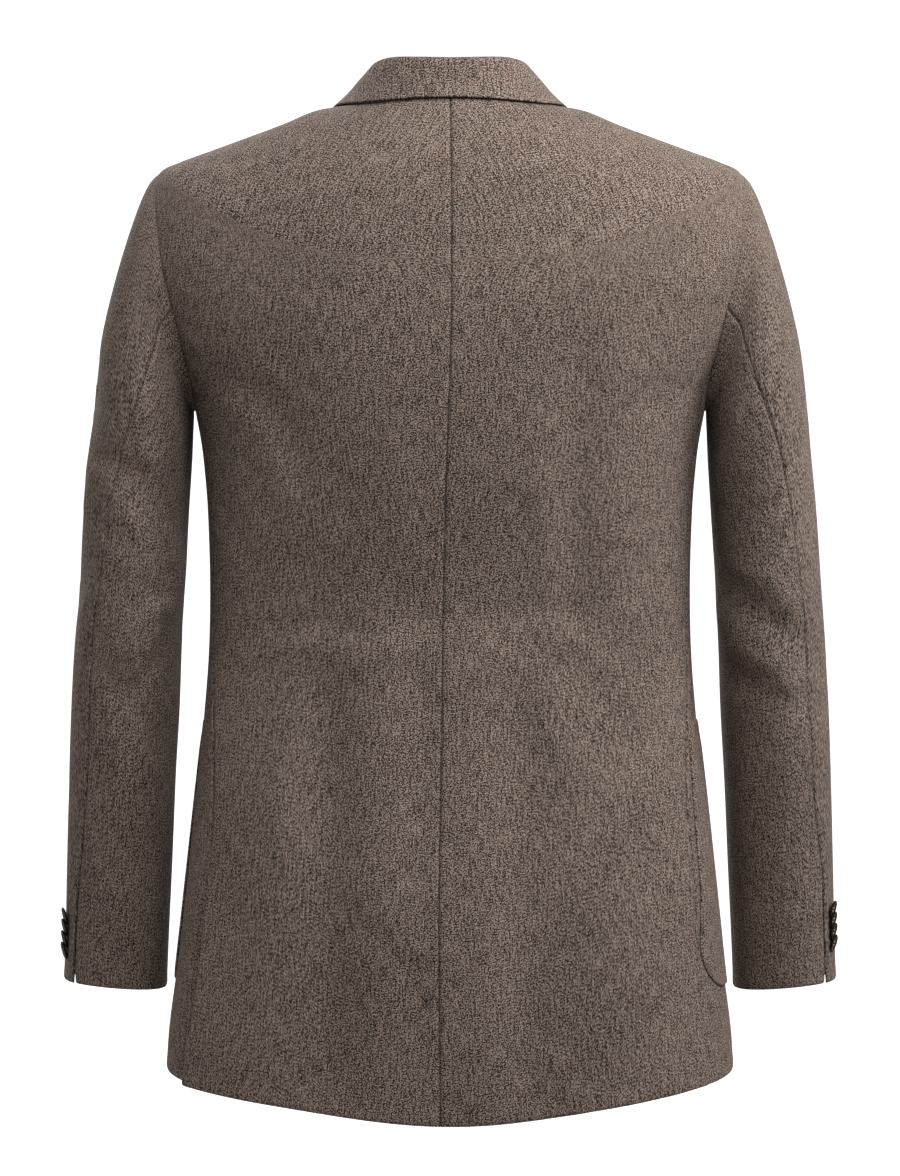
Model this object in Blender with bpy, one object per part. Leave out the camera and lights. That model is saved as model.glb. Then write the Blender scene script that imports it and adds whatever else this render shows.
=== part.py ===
"""Double-breasted blazer, worn form: every cut piece is a cloth wall on one shared body form.

Axes in metres: +X is the wearer's left, -Y the front, +Z up. The origin lies in the middle of the neck,
level with the points where the shoulder seams meet the collar. Angles round the body start at the
centre back (0), pass the wearer's left side (90) and reach the centre front (180).
"""
import bpy
import numpy as np

MM = 0.001

# ---- driving dimensions -------------------------------------------------------------------------
WALL = 1.8 * MM                 # cloth wall
SEAM_ANGLE = 0.0016             # half a seam's gap, as an angle round the body, in radians
SEAM_GAP = 0.3 * MM
ARMHOLE_GAP = 0.45 * MM         # the sleeve's first ring stands this far out from the armhole
LAYER_LIFT = 1.05 * MM          # from a panel's face to the back of a pocket
LAPEL_LIFT = 1.3 * MM           # and to the back of a lapel
BACK_LENGTH = 0.742             # collar seam to hem at the centre back
SIDE_LENGTH = 0.712             # the same height at the side
VENT_LEVEL = 0.530
UNDERLAP = 0.036                # width of the vent's underlap
UNDERLAP_DEPTH = 1.3 * MM       # from the back panel's inner face to it
OVERLAP_X = 0.072               # the upper front's edge past the centre front
OVERLAP_LIFT = 5.8 * MM
BREAK_Z = -0.345                # where the lapel starts to roll
CUFF_BUTTON = {"radius": 0.0069, "height": 0.0017, "pitch": 0.0087, "tilt": 14.0, "count": 4, "first_z": -0.599,
               "left_drop": 0.006, "lift": 0.1 * MM, "turn_left": 26.0, "turn_right": 32.0}
FRONT_BUTTON = {"radius": 0.0105, "height": 0.0035, "lifts": (0.96 * MM, 0.8 * MM, 0.5 * MM)}


def table(names, rows, plain=()):
    """Columns of a short table of millimetres, by name and in metres; the plain columns keep their value."""
    values = np.array(rows, dtype=float)
    columns = {}
    for number, name in enumerate(names.split()):
        columns[name] = values[:, number] * (1.0 if name in plain else MM)
    return columns


# A ring of the body: its level (its depth below the neck at the centre back), its greatest half
# width with the height and the y of that side point, and its y and height at front and back.
BODY = table("level side_x side_z side_y back_y front_y front_z square", [
    (-10, 60, 2, 12, 71, -82, -50, 2.2),
    (5, 78, -1, 11, 81, -90, -62, 2.2),
    (20, 98, -4, 10, 89.5, -98, -74, 2.25),
    (40, 124, -14.3, 8, 99, -106, -90, 2.3),
    (60, 152, -24.5, 6, 106, -114, -106, 2.35),
    (80, 179, -34.2, 4, 111, -120, -121, 2.4),
    (100, 200, -41.8, 3, 114.5, -125, -136, 2.45),
    (121, 216.5, -51, 2, 117, -129, -150, 2.5),
    (140, 226, -75, 1, 118, -132, -165, 2.55),
    (160, 228, -113, 0, 118.5, -134, -180, 2.6),
    (180, 219, -147, -1, 118, -135.5, -195, 2.6),
    (200, 207, -179, -2, 117, -136, -211, 2.6),
    (220, 194, -207, -2, 115.5, -136, -226, 2.6),
    (240, 187.2, -237, -2, 113.5, -135, -243, 2.55),
    (280, 181.5, -280, -1, 108, -131, -280, 2.5),
    (320, 179.2, -320, 0, 101, -127, -320, 2.5),
    (360, 178.4, -360, 0, 95, -123, -360, 2.5),
    (405, 179.3, -405, 0, 93, -121, -405, 2.5),
    (450, 182.6, -450, 0, 98, -121, -450, 2.5),
    (510, 188.6, -510, 1, 109, -123, -510, 2.5),
    (570, 194.8, -570, 2, 118, -125, -570, 2.45),
    (630, 201.4, -630, 3, 124, -127, -630, 2.45),
    (690, 209, -690, 3, 127, -129, -690, 2.4),
    (750, 211, -750, 3, 129, -130, -750, 2.4),
], plain=("square",))

# The largest folds of body cloth, seen from behind (side 1) or in front (side -1): a soft ridge or,
# with a height below 0, a trough, from one point to another, half as high one width away.
BODY_FOLDS = table("x0 z0 x1 z1 width height side", [
    (135, -130, 118, -235, 30, -3.5, 1),
    (-122, -205, -126, -370, 19, 3.5, 1),
    (-93, -200, -90, -360, 17, -3.0, 1),
    (93, -402, -14, -417, 17, 2.8, 1),
    (-36, -402, -175, -575, 20, 3.0, 1),
    (57, -420, 50, -585, 22, 3.6, 1),
    (-15, -445, -24, -722, 18, 3.0, 1),
    (90, -430, 86, -690, 16, -3.8, 1),
    (-50, -440, -56, -690, 15, -3.2, 1),
    (130, -560, 138, -735, 24, 4.0, 1),
    (-120, -600, -128, -735, 22, 3.2, 1),
    (95, -300, 150, -260, 18, 2.5, -1),
    (-100, -310, -150, -255, 18, 2.5, -1),
    (96, -405, 155, -430, 16, -2.4, -1),
    (-98, -405, -155, -440, 16, -2.4, -1),
    (110, -520, 120, -720, 24, 3.0, -1),
    (-115, -500, -122, -720, 22, 3.0, -1),
], plain=("side",))

ARMHOLE = {"middle": 0.1765, "half": 0.0555, "angle": np.radians(17.0)}
LEVELS = np.array([-10, 5, 20, 40, 60, 80, 100, 121, 126, 137, 152, 170, 189, 208, 235, 268, 304, 340, 376,
                   412, 450, 490, 530, 566, 604, 642, 680, 714, 742]) * MM
SHOULDER_ROW = 7
ARMPIT_ROW = 13

# Where the side seams run round the body, in degrees, level by level.
SIDE_SEAMS = table("level back front", [
    (208, 76.0, 104.0),
    (245, 78.8, 104.3),
    (300, 79.2, 105.0),
    (350, 80.2, 105.2),
    (390, 80.2, 105.5),
    (450, 76.6, 105.5),
    (500, 72.6, 106.0),
    (545, 70.6, 106.6),
    (600, 69.8, 107.2),
    (655, 68.5, 108.0),
    (690, 68.8, 108.5),
    (742, 70.2, 109.0),
], plain=("back", "front"))
# The centre-back seam's sideways lean.
BACK_SEAM = table("level x", [
    (-10, 0), (100, -1.2), (200, 0), (270, 2.5), (350, 4.5), (450, 6.0), (600, 8.0), (742, 7.0),
])

# The sleeve: outermost and innermost point of each ring as seen from behind, the y of its middle, its
# half depths and how far its back bows out of the ring's plane. Station 0 is the armhole itself.
SLEEVE = table("out_x out_z in_x in_z mid_y back front bow", [
    (224.5, -60, 190.4, -226, 0, 63, 62, 9.5),
    (236.5, -90, 190.8, -230, -1, 67, 66, 7.5),
    (250, -134, 191.2, -235, -3, 72, 71, 4.5),
    (260.5, -180, 191.7, -241, -5, 76, 74, 2),
    (266.3, -228, 192.3, -251, -8, 77, 76, 0.5),
    (269.4, -262, 193.2, -267, -10, 76, 76, 0),
    (273.2, -300, 195.4, -300, -12, 74, 75, 0),
    (277.5, -360, 199.0, -360, -15, 70, 72, 0),
    (281.0, -404, 201.3, -404, -18, 67, 69, 0),
    (283.7, -449, 203.1, -449, -22, 63, 66, 0),
    (286.2, -508, 206.7, -508, -29, 59, 61, 0),
    (288.4, -568, 209.7, -568, -37, 56, 57, 0),
    (289.8, -611, 212.2, -614, -42.5, 54, 54, 0),
    (291.6, -652, 214.4, -659, -48, 52, 52, 0),
])
SLEEVE_SQUARE = 2.15
SLEEVE_ROWS = np.array([0, 0.35, 1, 2, 3, 4, 5, 6, 7, 7.5, 8, 9, 10, 10.5, 11, 11.5, 12, 12.5, 13, 13.5, 14])
# Where the two seams run round the sleeve: from the outside (0) over the back (90).
SLEEVE_SEAMS = table("station hindarm forearm", [
    (0, 91, 216), (0.5, 100, 217), (1, 106, 218), (2, 105, 222), (3, 100.5, 225), (4, 95, 227), (5, 84.5, 228),
    (6, 73, 228), (7, 67.5, 227), (8, 60, 226), (9, 55.5, 225), (10, 56.5, 225), (11, 56, 225), (12, 48, 225),
    (13, 44.5, 225), (14, 44.5, 225),
], plain=("station", "hindarm", "forearm"))
# The largest folds of each sleeve, by angle and height; the left sleeve is side 1.
SLEEVE_FOLDS = table("angle0 z0 angle1 z1 width height side", [
    (20, -215, 120, -300, 16, 3.0, 1),
    (40, -275, 130, -330, 13, -2.4, 1),
    (150, -355, 110, -400, 13, -3.2, 1),
    (60, -300, 30, -350, 14, 2.4, 1),
    (70, -420, 140, -470, 15, 2.2, 1),
    (100, -150, 75, -200, 15, -2.6, -1),
    (140, -360, 60, -405, 15, 3.0, -1),
    (130, -420, 70, -440, 13, 2.6, -1),
    (150, -385, 90, -425, 12, -2.6, -1),
    (90, -235, 140, -275, 14, -2.4, -1),
    (250, -350, 300, -380, 16, -2.5, 1),
    (250, -350, 300, -385, 16, -2.5, -1),
    (260, -400, 320, -425, 16, 2.4, 1),
    (260, -405, 320, -430, 16, 2.4, -1),
], plain=("angle0", "angle1", "side"))

# The collar, from the centre back to its front end: the body angle and level under its fall's edge,
# and the fold's height above and reach outside the neck seam.
COLLAR = table("place angle level rise reach", [
    (0, 0, 3, 17.5, -5.0),
    (25, 25, 3.6, 18.5, -5.0),
    (50, 50, 5.5, 21, -5.2),
    (90, 88, 9.5, 23.5, -5.0),
    (115, 103.5, 17.5, 15, -2.5),
    (130, 113, 26.5, 7, 0),
    (138, 121.5, 30, 3.5, 1.5),
    (143, 129.5, 31.5, 2.8, 2.0),
], plain=("place", "angle"))
COLLAR_END = 143.0
# The lapel's outline in the front view.
LAPEL_TOP = {"roll": (0.0475, -0.0530), "notch": (0.0900, -0.0730), "peak": (0.1260, -0.0520)}
LAPEL_EDGE = table("x z", [(126, -52), (119, -90), (100, -150), (64, -215), (14, -275), (-36, -320), (-71, -347)])

POCKET = {"top": 0.455, "bottom": 0.652, "rear_top": 76.5, "rear_bottom": 68.4, "fore_top": 131.0,
          "fore_bottom": 127.0, "left_shift": 15.0, "corner": 0.034, "puff": 1.0 * MM}

COLOURS = {
    "cloth": (0.135, 0.105, 0.086),
    "cloth_collar": (0.150, 0.118, 0.098),
    "horn": (0.018, 0.011, 0.008),
}


# ---- shared formulas ----------------------------------------------------------------------------
def smooth(xs, ys, x):
    """A smooth curve through the points (xs, ys), read at x."""
    x = np.clip(x, xs[0] - 0.001, xs[-1] + 0.001)
    slopes = np.gradient(ys, xs)
    place = np.clip(np.searchsorted(xs, x, side="right") - 1, 0, len(xs) - 2)
    step = xs[place + 1] - xs[place]
    t = (x - xs[place]) / step
    start = (1 + 2 * t) * (1 - t) ** 2 * ys[place] + t * (1 - t) ** 2 * step * slopes[place]
    end = t * t * (3 - 2 * t) * ys[place + 1] + t * t * (t - 1) * step * slopes[place + 1]
    return start + end


def ease(low, high, x):
    """0 below low, 1 above high, and an even S between them."""
    t = np.clip((x - low) / (high - low), 0.0, 1.0)
    return t * t * (3 - 2 * t)


def unit(vectors):
    """The vectors at length 1."""
    return vectors / np.linalg.norm(vectors, axis=-1, keepdims=True)


def ring_column(name, level):
    """One column of the body's table at a level."""
    return smooth(BODY["level"], BODY[name], level)


def body_bare(angle, level):
    """A ring's point: a superellipse round the ring's middle, whose height eases from side to back or front."""
    sine = np.sin(angle)
    cosine = np.cos(angle)
    square = ring_column("square", level)
    middle = ring_column("side_y", level)
    back = ring_column("back_y", level) - middle
    front = middle - ring_column("front_y", level)
    depth = np.where(cosine >= 0, back, front)
    width = ring_column("side_x", level)
    radius = ((np.abs(cosine) / depth) ** square + (np.abs(sine) / width) ** square) ** (-1.0 / square)
    side_z = ring_column("side_z", level)
    far_z = np.where(cosine >= 0, -level, ring_column("front_z", level))
    z = side_z + (far_z - side_z) * (1.0 - np.abs(sine) ** 6)
    return np.stack([radius * sine, middle + radius * cosine, z], axis=-1)


def normals(surface, first, second, step=2e-4):
    """Outward unit normals of a surface of two parameters, from small steps along each."""
    along = surface(first + step, second) - surface(first - step, second)
    down = surface(first, second + step) - surface(first, second - step)
    return unit(np.cross(along, down))


def fold_height(across, down, folds, side, x0, z0, x1, z1):
    """The sum of soft ridges and troughs: each a bell across its line that fades past its ends."""
    total = np.zeros_like(across)
    for row in np.flatnonzero(folds["side"] == side):
        run = np.array([x1[row] - x0[row], z1[row] - z0[row]])
        length = np.hypot(run[0], run[1])
        along = ((across - x0[row]) * run[0] + (down - z0[row]) * run[1]) / length
        aside = ((across - x0[row]) * run[1] - (down - z0[row]) * run[0]) / length
        past = np.maximum(np.maximum(-along, along - length), 0.0)
        width = folds["width"][row]
        total = total + folds["height"][row] * np.exp(-0.7 * (aside / width) ** 2 - 0.7 * (past / (1.6 * width)) ** 2)
    return total


def body_folded(angle, level):
    """The body's form with its large folds."""
    bare = body_bare(angle, level)
    folds = BODY_FOLDS
    height = np.zeros_like(bare[..., 0])
    for side in (1, -1):
        facing = ease(0.02, 0.07, side * bare[..., 1])
        height = height + facing * fold_height(bare[..., 0], bare[..., 2], folds, side, folds["x0"], folds["z0"],
                                               folds["x1"], folds["z1"])
    return bare + normals(body_bare, angle, level) * height[..., None]


def body(angle, level, lift=0.0):
    """Points of the body's cloth, lifted off its outer face."""
    lift = np.broadcast_to(lift, np.shape(angle))
    return body_folded(angle, level) + normals(body_folded, angle, level) * lift[..., None]


def locate(x, z, back=False):
    """The angle and level whose point lies at x and z in the front or back view, by halving the level's range."""
    low = np.full(np.shape(x), BODY["level"][0] + 1e-5)
    high = np.full(np.shape(x), BODY["level"][-1])
    for _ in range(30):
        level = (low + high) / 2
        angle = angle_at(x, level, back)
        too_high = body_bare(angle, level)[..., 2] > z
        low = np.where(too_high, level, low)
        high = np.where(too_high, high, level)
    return angle, level


def angle_at(x, level, back=False):
    """The angle at which a ring passes x, at the front or the back."""
    square = ring_column("square", level)
    middle = ring_column("side_y", level)
    far = ring_column("back_y", level) - middle if back else ring_column("front_y", level) - middle
    share = np.clip(np.abs(x) / ring_column("side_x", level), 0.0, 0.9999)
    y = far * (1.0 - share ** square) ** (1.0 / square)
    return np.mod(np.arctan2(x, y), 2 * np.pi)


def armhole(turn):
    """Angle and level along the left armhole: turn is 0 at the shoulder, 90 degrees at the back."""
    level = ARMHOLE["middle"] - ARMHOLE["half"] * np.cos(turn)
    return np.pi / 2 - ARMHOLE["angle"] * np.sin(turn), level


def armhole_angle(level, back):
    """The armhole's angle on a ring between shoulder and armpit."""
    cosine = np.clip((ARMHOLE["middle"] - level) / ARMHOLE["half"], -1.0, 1.0)
    reach = ARMHOLE["angle"] * np.sqrt(1.0 - cosine ** 2)
    return np.pi / 2 - reach if back else np.pi / 2 + reach


def seam_angle(level, column):
    """The angle of a side seam at a level."""
    return np.radians(smooth(SIDE_SEAMS["level"], SIDE_SEAMS[column], level))


def hem_level(angle, level):
    """Levels below the vent's top, stretched so that the last row meets the curved hem."""
    cosine = np.cos(angle)
    drop = np.where(cosine > 0, (BACK_LENGTH - SIDE_LENGTH) * np.abs(cosine) ** 1.35, 0.010 * np.abs(cosine))
    scale = (SIDE_LENGTH + drop - VENT_LEVEL) / (LEVELS[-1] - VENT_LEVEL)
    return np.where(level > VENT_LEVEL, VENT_LEVEL + (level - VENT_LEVEL) * scale, level)


# ---- making solids ------------------------------------------------------------------------------
def material(name, colour, roughness):
    """A plain material with one colour."""
    made = bpy.data.materials.new(name)
    made.use_nodes = True
    shader = made.node_tree.nodes["Principled BSDF"]
    shader.inputs["Base Color"].default_value = (*colour, 1.0)
    shader.inputs["Roughness"].default_value = roughness
    return made


def add_solid(name, points, faces, colour, roughness=0.9):
    """One closed body as a named object, its faces turned outwards by the sign of its volume."""
    used = np.unique(np.concatenate([np.ravel(face) for face in faces]))
    place = np.full(len(points), -1)
    place[used] = np.arange(len(used))
    points = points[used]
    faces = [tuple(int(place[corner]) for corner in face) for face in faces]
    volume = 0.0
    for face in faces:
        for second in range(1, len(face) - 1):
            a, b, c = points[face[0]], points[face[second]], points[face[second + 1]]
            volume += np.dot(a, np.cross(b, c))
    if volume < 0:
        faces = [face[::-1] for face in faces]
    mesh = bpy.data.meshes.new(name)
    mesh.from_pydata([tuple(point) for point in points], [], faces)
    mesh.shade_smooth()
    mesh.set_sharp_from_angle(angle=np.radians(50))
    mesh.materials.append(material(name, COLOURS[colour], roughness))
    solid = bpy.data.objects.new(name, mesh)
    bpy.context.scene.collection.objects.link(solid)
    return solid


def cloth_wall(name, outer, inner, cells=None, colour="cloth"):
    """A closed wall between two grids of points, with a rim round the cells that it keeps."""
    rows, columns = outer.shape[:2]
    if cells is None:
        cells = np.ones((rows - 1, columns - 1), dtype=bool)
    number = np.arange(rows * columns).reshape(rows, columns)
    far = rows * columns
    faces = []
    for row, column in np.argwhere(cells):
        a, b = number[row, column], number[row, column + 1]
        c, d = number[row + 1, column + 1], number[row + 1, column]
        faces.append((a, b, c, d))
        faces.append((d + far, c + far, b + far, a + far))
        for beside, start, end in (((row - 1, column), a, b), ((row, column + 1), b, c),
                                   ((row + 1, column), c, d), ((row, column - 1), d, a)):
            inside = 0 <= beside[0] < rows - 1 and 0 <= beside[1] < columns - 1 and cells[beside]
            if not inside:
                faces.append((end, start, start + far, end + far))
    points = np.concatenate([outer.reshape(-1, 3), inner.reshape(-1, 3)])
    return add_solid(name, points, faces, colour)


def mirrored(points, side):
    """The points for the wearer's left (side 1) or right (side -1)."""
    return points * np.array([side, 1.0, 1.0])


def side_angle(angle, side):
    """The angle of a place given for the left half, on either half."""
    return angle if side > 0 else 2 * np.pi - angle


def body_wall(name, angle, level, side, lift=0.0, wall=WALL, cells=None, colour="cloth"):
    """A wall on the body's form, from angles given for the left half."""
    turned = side_angle(angle, side)
    lift = np.broadcast_to(lift, angle.shape)
    return cloth_wall(name, body(turned, level, lift), body(turned, level, lift - wall), cells, colour)


def spread(start, end, count, power=1.0):
    """Columns from start to end (arrays of one value a row)."""
    share = np.linspace(0.0, 1.0, count) ** power
    return start[:, None] + (end - start)[:, None] * share[None, :]


# ---- the body's panels --------------------------------------------------------------------------
def outer_edge(levels, back):
    """The side edge of a back or front panel: shoulder seam, armhole, then side seam."""
    column = "back" if back else "front"
    seam = seam_angle(levels, column)
    hole = armhole_angle(levels, back)
    edge = np.where(levels <= LEVELS[SHOULDER_ROW], np.pi / 2, np.where(levels < LEVELS[ARMPIT_ROW], hole, seam))
    sign = -1.0 if back else 1.0
    held = (levels <= LEVELS[SHOULDER_ROW]) | (levels >= LEVELS[ARMPIT_ROW])
    return edge + sign * SEAM_ANGLE * held


def back_panel(name, side, flare):
    """Half of the back: centre seam to shoulder, armhole and vent; the vent's edge stands off by flare."""
    lean = smooth(BACK_SEAM["level"], BACK_SEAM["x"], LEVELS) * side
    seam = np.arctan2(lean, ring_column("back_y", LEVELS)) + 0.6 * SEAM_ANGLE
    angle = spread(seam, outer_edge(LEVELS, True), 12)
    level = hem_level(angle, np.repeat(LEVELS[:, None], angle.shape[1], axis=1))
    to_edge = (angle[:, -1:] - angle) / 0.42
    lift = flare * ease(VENT_LEVEL, SIDE_LENGTH, level) * (1.0 - ease(0.0, 1.0, to_edge))
    return body_wall(name, angle, level, side, lift)


def side_panel(name, side):
    """The side body, from seam to seam under the armhole, with the vent's underlap behind the back panel."""
    levels = LEVELS[ARMPIT_ROW:]
    rear = seam_angle(levels, "back") + SEAM_ANGLE
    fore = seam_angle(levels, "front") - SEAM_ANGLE
    share = np.array([0.0, 0.10, 0.25, 0.42, 0.60, 0.77, 0.91, 1.0])
    angle = rear[:, None] + (fore - rear)[:, None] * share[None, :]
    lap = rear[:, None] - UNDERLAP / 0.185 * np.array([1.0, 0.55, 0.13])[None, :]
    angle = np.concatenate([lap, angle], axis=1)
    level = np.repeat(levels[:, None], angle.shape[1], axis=1)
    turn = np.pi - np.arcsin(np.clip((np.pi / 2 - angle[0, 3:]) / ARMHOLE["angle"], -1.0, 1.0))
    top = ARMHOLE["middle"] - ARMHOLE["half"] * np.cos(turn)
    top[[0, -1]] = levels[0]
    fade = np.clip((levels - levels[0]) / 0.12, 0.0, 1.0)
    level[:, 3:] += (top - levels[0])[None, :] * ((1.0 - fade) ** 2)[:, None]
    level = hem_level(angle, level)
    under = levels >= VENT_LEVEL - 1e-6
    lift = np.zeros_like(angle)
    lift[:, :4] = -(WALL + UNDERLAP_DEPTH) * under[:, None]
    cells = np.ones((len(levels) - 1, angle.shape[1] - 1), dtype=bool)
    cells[:, :3] = under[:-1, None]
    return body_wall(name, angle, level, side, lift, cells=cells)


def roll_line(share):
    """The roll line in the front view, from the gorge (0) to the lapel's break (1)."""
    top_x, top_z = LAPEL_TOP["roll"]
    return top_x + (-OVERLAP_X - top_x) * share, top_z + (BREAK_Z - top_z) * share


def front_edge(levels):
    """The upper front's edge: along the roll line to the break, then straight down."""
    share = np.linspace(0.0, 1.0, 60)
    angle, level = locate(*roll_line(share))
    along_roll = np.interp(levels, level, angle)
    straight = angle_at(np.full(len(levels), -OVERLAP_X), levels)
    return np.where(levels < level[-1], along_roll, straight)


def under_reach(z):
    """How far the under front reaches past the centre, at a height."""
    top_x, top_z = LAPEL_TOP["roll"]
    return np.clip(-top_x + (OVERLAP_X + top_x) * (z - top_z) / (BREAK_Z - top_z), -1.0, OVERLAP_X)


def overlap_lift(angle, level, side):
    """The upper (left) front rises where the under front and its lapel lie below it."""
    if side < 0:
        return np.zeros_like(angle)
    bare = body_bare(angle, level)
    reach = under_reach(bare[..., 2])
    return OVERLAP_LIFT * ease(-0.040, -0.006, reach - bare[..., 0]) * ease(np.pi / 2, np.pi / 2 + 0.5, angle)


def front_panel(name, side):
    """A front from shoulder, armhole and side seam to the roll line and the overlapping edge."""
    angle = spread(outer_edge(LEVELS, False), front_edge(LEVELS), 14)
    level = hem_level(angle, np.repeat(LEVELS[:, None], angle.shape[1], axis=1))
    return body_wall(name, angle, level, side, overlap_lift(angle, level, side))


# ---- what lies on the panels --------------------------------------------------------------------
def lapel_outline(across, down):
    """A point of the lapel in the front view: across from roll line to outer edge, down from gorge to break."""
    roll_x, roll_z = roll_line(down)
    run = np.linspace(0.0, 1.0, len(LAPEL_EDGE["x"]))
    edge_x = smooth(run, LAPEL_EDGE["x"], down)
    edge_z = smooth(run, LAPEL_EDGE["z"], down)
    x = roll_x + (edge_x - roll_x) * across
    z = roll_z + (edge_z - roll_z) * across
    notch_x, notch_z = LAPEL_TOP["notch"]
    roll0, peak = LAPEL_TOP["roll"], LAPEL_TOP["peak"]
    at = (notch_x - roll0[0]) / (peak[0] - roll0[0])
    dip = notch_z - (roll0[1] + (peak[1] - roll0[1]) * at)
    shape = np.where(across < at, across / at, (1.0 - across) / (1.0 - at))
    return x, z + dip * shape * (1.0 - ease(0.0, 0.35, down))


def lapel(name, side):
    """The lapel lies on its own front, from the roll line out to its edge."""
    roll0, peak, notch = LAPEL_TOP["roll"], LAPEL_TOP["peak"], LAPEL_TOP["notch"]
    at = (notch[0] - roll0[0]) / (peak[0] - roll0[0])
    across = np.concatenate([np.linspace(0.004, at, 4), np.linspace(at, 1.0, 4)[1:]])
    down = np.linspace(0.0, 0.985, 14) ** 1.1
    across, down = np.meshgrid(across, down)
    x, z = lapel_outline(across, down)
    angle, level = locate(x, z)
    lift = overlap_lift(angle, level, side) + LAPEL_LIFT + WALL
    return body_wall(name, angle, level, side, lift)


def pocket(name, side):
    """A patch pocket with round lower corners, over the side panel and the front."""
    down = np.concatenate([np.linspace(0.0, 0.83, 7), [0.90, 0.95, 0.985, 1.0]])
    levels = POCKET["top"] + (POCKET["bottom"] - POCKET["top"]) * down
    past = np.maximum(levels - (POCKET["bottom"] - POCKET["corner"]), 0.0)
    inset = POCKET["corner"] - np.sqrt(np.maximum(POCKET["corner"] ** 2 - past ** 2, 0.0))
    inset = inset / 0.19
    shift = POCKET["left_shift"] if side > 0 else 0.0
    rear = np.radians(POCKET["rear_top"] + (POCKET["rear_bottom"] - POCKET["rear_top"]) * down + shift) + inset
    fore = np.radians(POCKET["fore_top"] + (POCKET["fore_bottom"] - POCKET["fore_top"]) * down + shift) - inset
    angle = spread(rear, fore, 12)
    level = np.repeat(levels[:, None], angle.shape[1], axis=1)
    across = np.linspace(0.0, 1.0, angle.shape[1])[None, :]
    bulge = POCKET["puff"] * np.sin(np.pi * across) * np.sin(np.pi * np.clip(down, 0, 1))[:, None] ** 0.5
    lift = overlap_lift(angle, level, side) + LAYER_LIFT + WALL + bulge
    return body_wall(name, angle, level, side, lift)


# ---- sleeves ------------------------------------------------------------------------------------
def sleeve_stations(turn):
    """The points of every ring at the angle turn: the armhole first, then the rings of the table."""
    angle, level = armhole(turn)
    first = body_bare(angle, level)
    first[..., 0] += ARMHOLE_GAP * (1.0 + 0.8 * ease(0.5, 1.0, -np.cos(turn)))
    rings = [first]
    for row in range(len(SLEEVE["out_x"])):
        outside = np.array([SLEEVE["out_x"][row], 0.0, SLEEVE["out_z"][row]])
        inside = np.array([SLEEVE["in_x"][row], 0.0, SLEEVE["in_z"][row]])
        half = (outside - inside) / 2
        cosine, sine = np.cos(turn), np.sin(turn)
        depth = np.where(sine >= 0, SLEEVE["back"][row], SLEEVE["front"][row])
        radius = (np.abs(cosine) ** SLEEVE_SQUARE + np.abs(sine) ** SLEEVE_SQUARE) ** (-1.0 / SLEEVE_SQUARE)
        point = (outside + inside) / 2 + half * (radius * cosine)[..., None]
        point[..., 1] = SLEEVE["mid_y"][row] + depth * radius * sine
        point[..., 0] += SLEEVE["bow"][row] * np.where(sine >= 0, 1.0, 1.45) * sine ** 2
        rings.append(point)
    return np.stack(rings)


def sleeve_bare(turn, station):
    """The sleeve's form: each lengthwise line is a smooth curve through its rings."""
    rings = sleeve_stations(turn)
    slopes = np.gradient(rings, axis=0)
    slopes[0] = rings[1] - rings[0]
    last = len(rings) - 1
    place = np.clip(np.floor(station).astype(int), 0, last - 1)
    t = (station - place)[..., None]
    columns = np.indices(turn.shape)
    here = rings[(place, *columns)]
    there = rings[(place + 1, *columns)]
    leave = slopes[(place, *columns)]
    arrive = slopes[(place + 1, *columns)]
    start = (1 + 2 * t) * (1 - t) ** 2 * here + t * (1 - t) ** 2 * leave
    return start + t * t * (3 - 2 * t) * there + t * t * (t - 1) * arrive


def sleeve_folded(turn, station, side):
    """The sleeve's form with its large folds."""
    bare = sleeve_bare(turn, station)
    folds = SLEEVE_FOLDS
    reach = 0.045
    wrapped = np.mod(turn, 2 * np.pi) * reach
    height = fold_height(wrapped, bare[..., 2], folds, side, np.radians(folds["angle0"]) * reach, folds["z0"],
                         np.radians(folds["angle1"]) * reach, folds["z1"])
    held = ease(0.6, 2.5, station)
    return bare + normals(sleeve_bare, turn, station, 1e-3) * (height * held)[..., None]


def sleeve(turn, station, side, lift=0.0):
    """Points of a sleeve's cloth for the left half, lifted off its outer face; at the armhole the wall's
    thickness points to the middle of the hole."""
    def shaped(first, second):
        return sleeve_folded(first, second, side)
    out = -normals(shaped, turn, np.clip(station, 0.01, 13.99), 1e-3)
    flat = np.stack([np.zeros_like(turn), np.sin(turn), np.cos(turn)], axis=-1)
    near = (1.0 - ease(0.0, 0.6, station))[..., None]
    out = unit(flat * near + out * (1.0 - near))
    return shaped(turn, station) + out * np.broadcast_to(lift, turn.shape)[..., None]


def sleeve_seam(station, column):
    """The angle of a sleeve seam at a station."""
    return np.radians(smooth(SLEEVE_SEAMS["station"], SLEEVE_SEAMS[column], station))


def sleeve_piece(name, side, upper):
    """The upper or under sleeve, between the hindarm seam and the forearm seam."""
    hind = sleeve_seam(SLEEVE_ROWS, "hindarm")
    fore = sleeve_seam(SLEEVE_ROWS, "forearm")
    gap = (0.7 + 0.5 * (1.0 - ease(0.0, 2.0, SLEEVE_ROWS))) * SEAM_GAP / 0.045
    vent = 0.02 * ease(13.75, 14.0, SLEEVE_ROWS)
    if upper:
        turn = spread(fore - 2 * np.pi + gap, hind - gap - vent, 12)
    else:
        turn = spread(hind + gap + vent, fore - gap, 9)
    station = np.repeat(SLEEVE_ROWS[:, None], turn.shape[1], axis=1)
    outer = mirrored(sleeve(turn, station, side, 0.0), side)
    inner = mirrored(sleeve(turn, station, side, -WALL), side)
    return cloth_wall(name, outer, inner)


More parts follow.
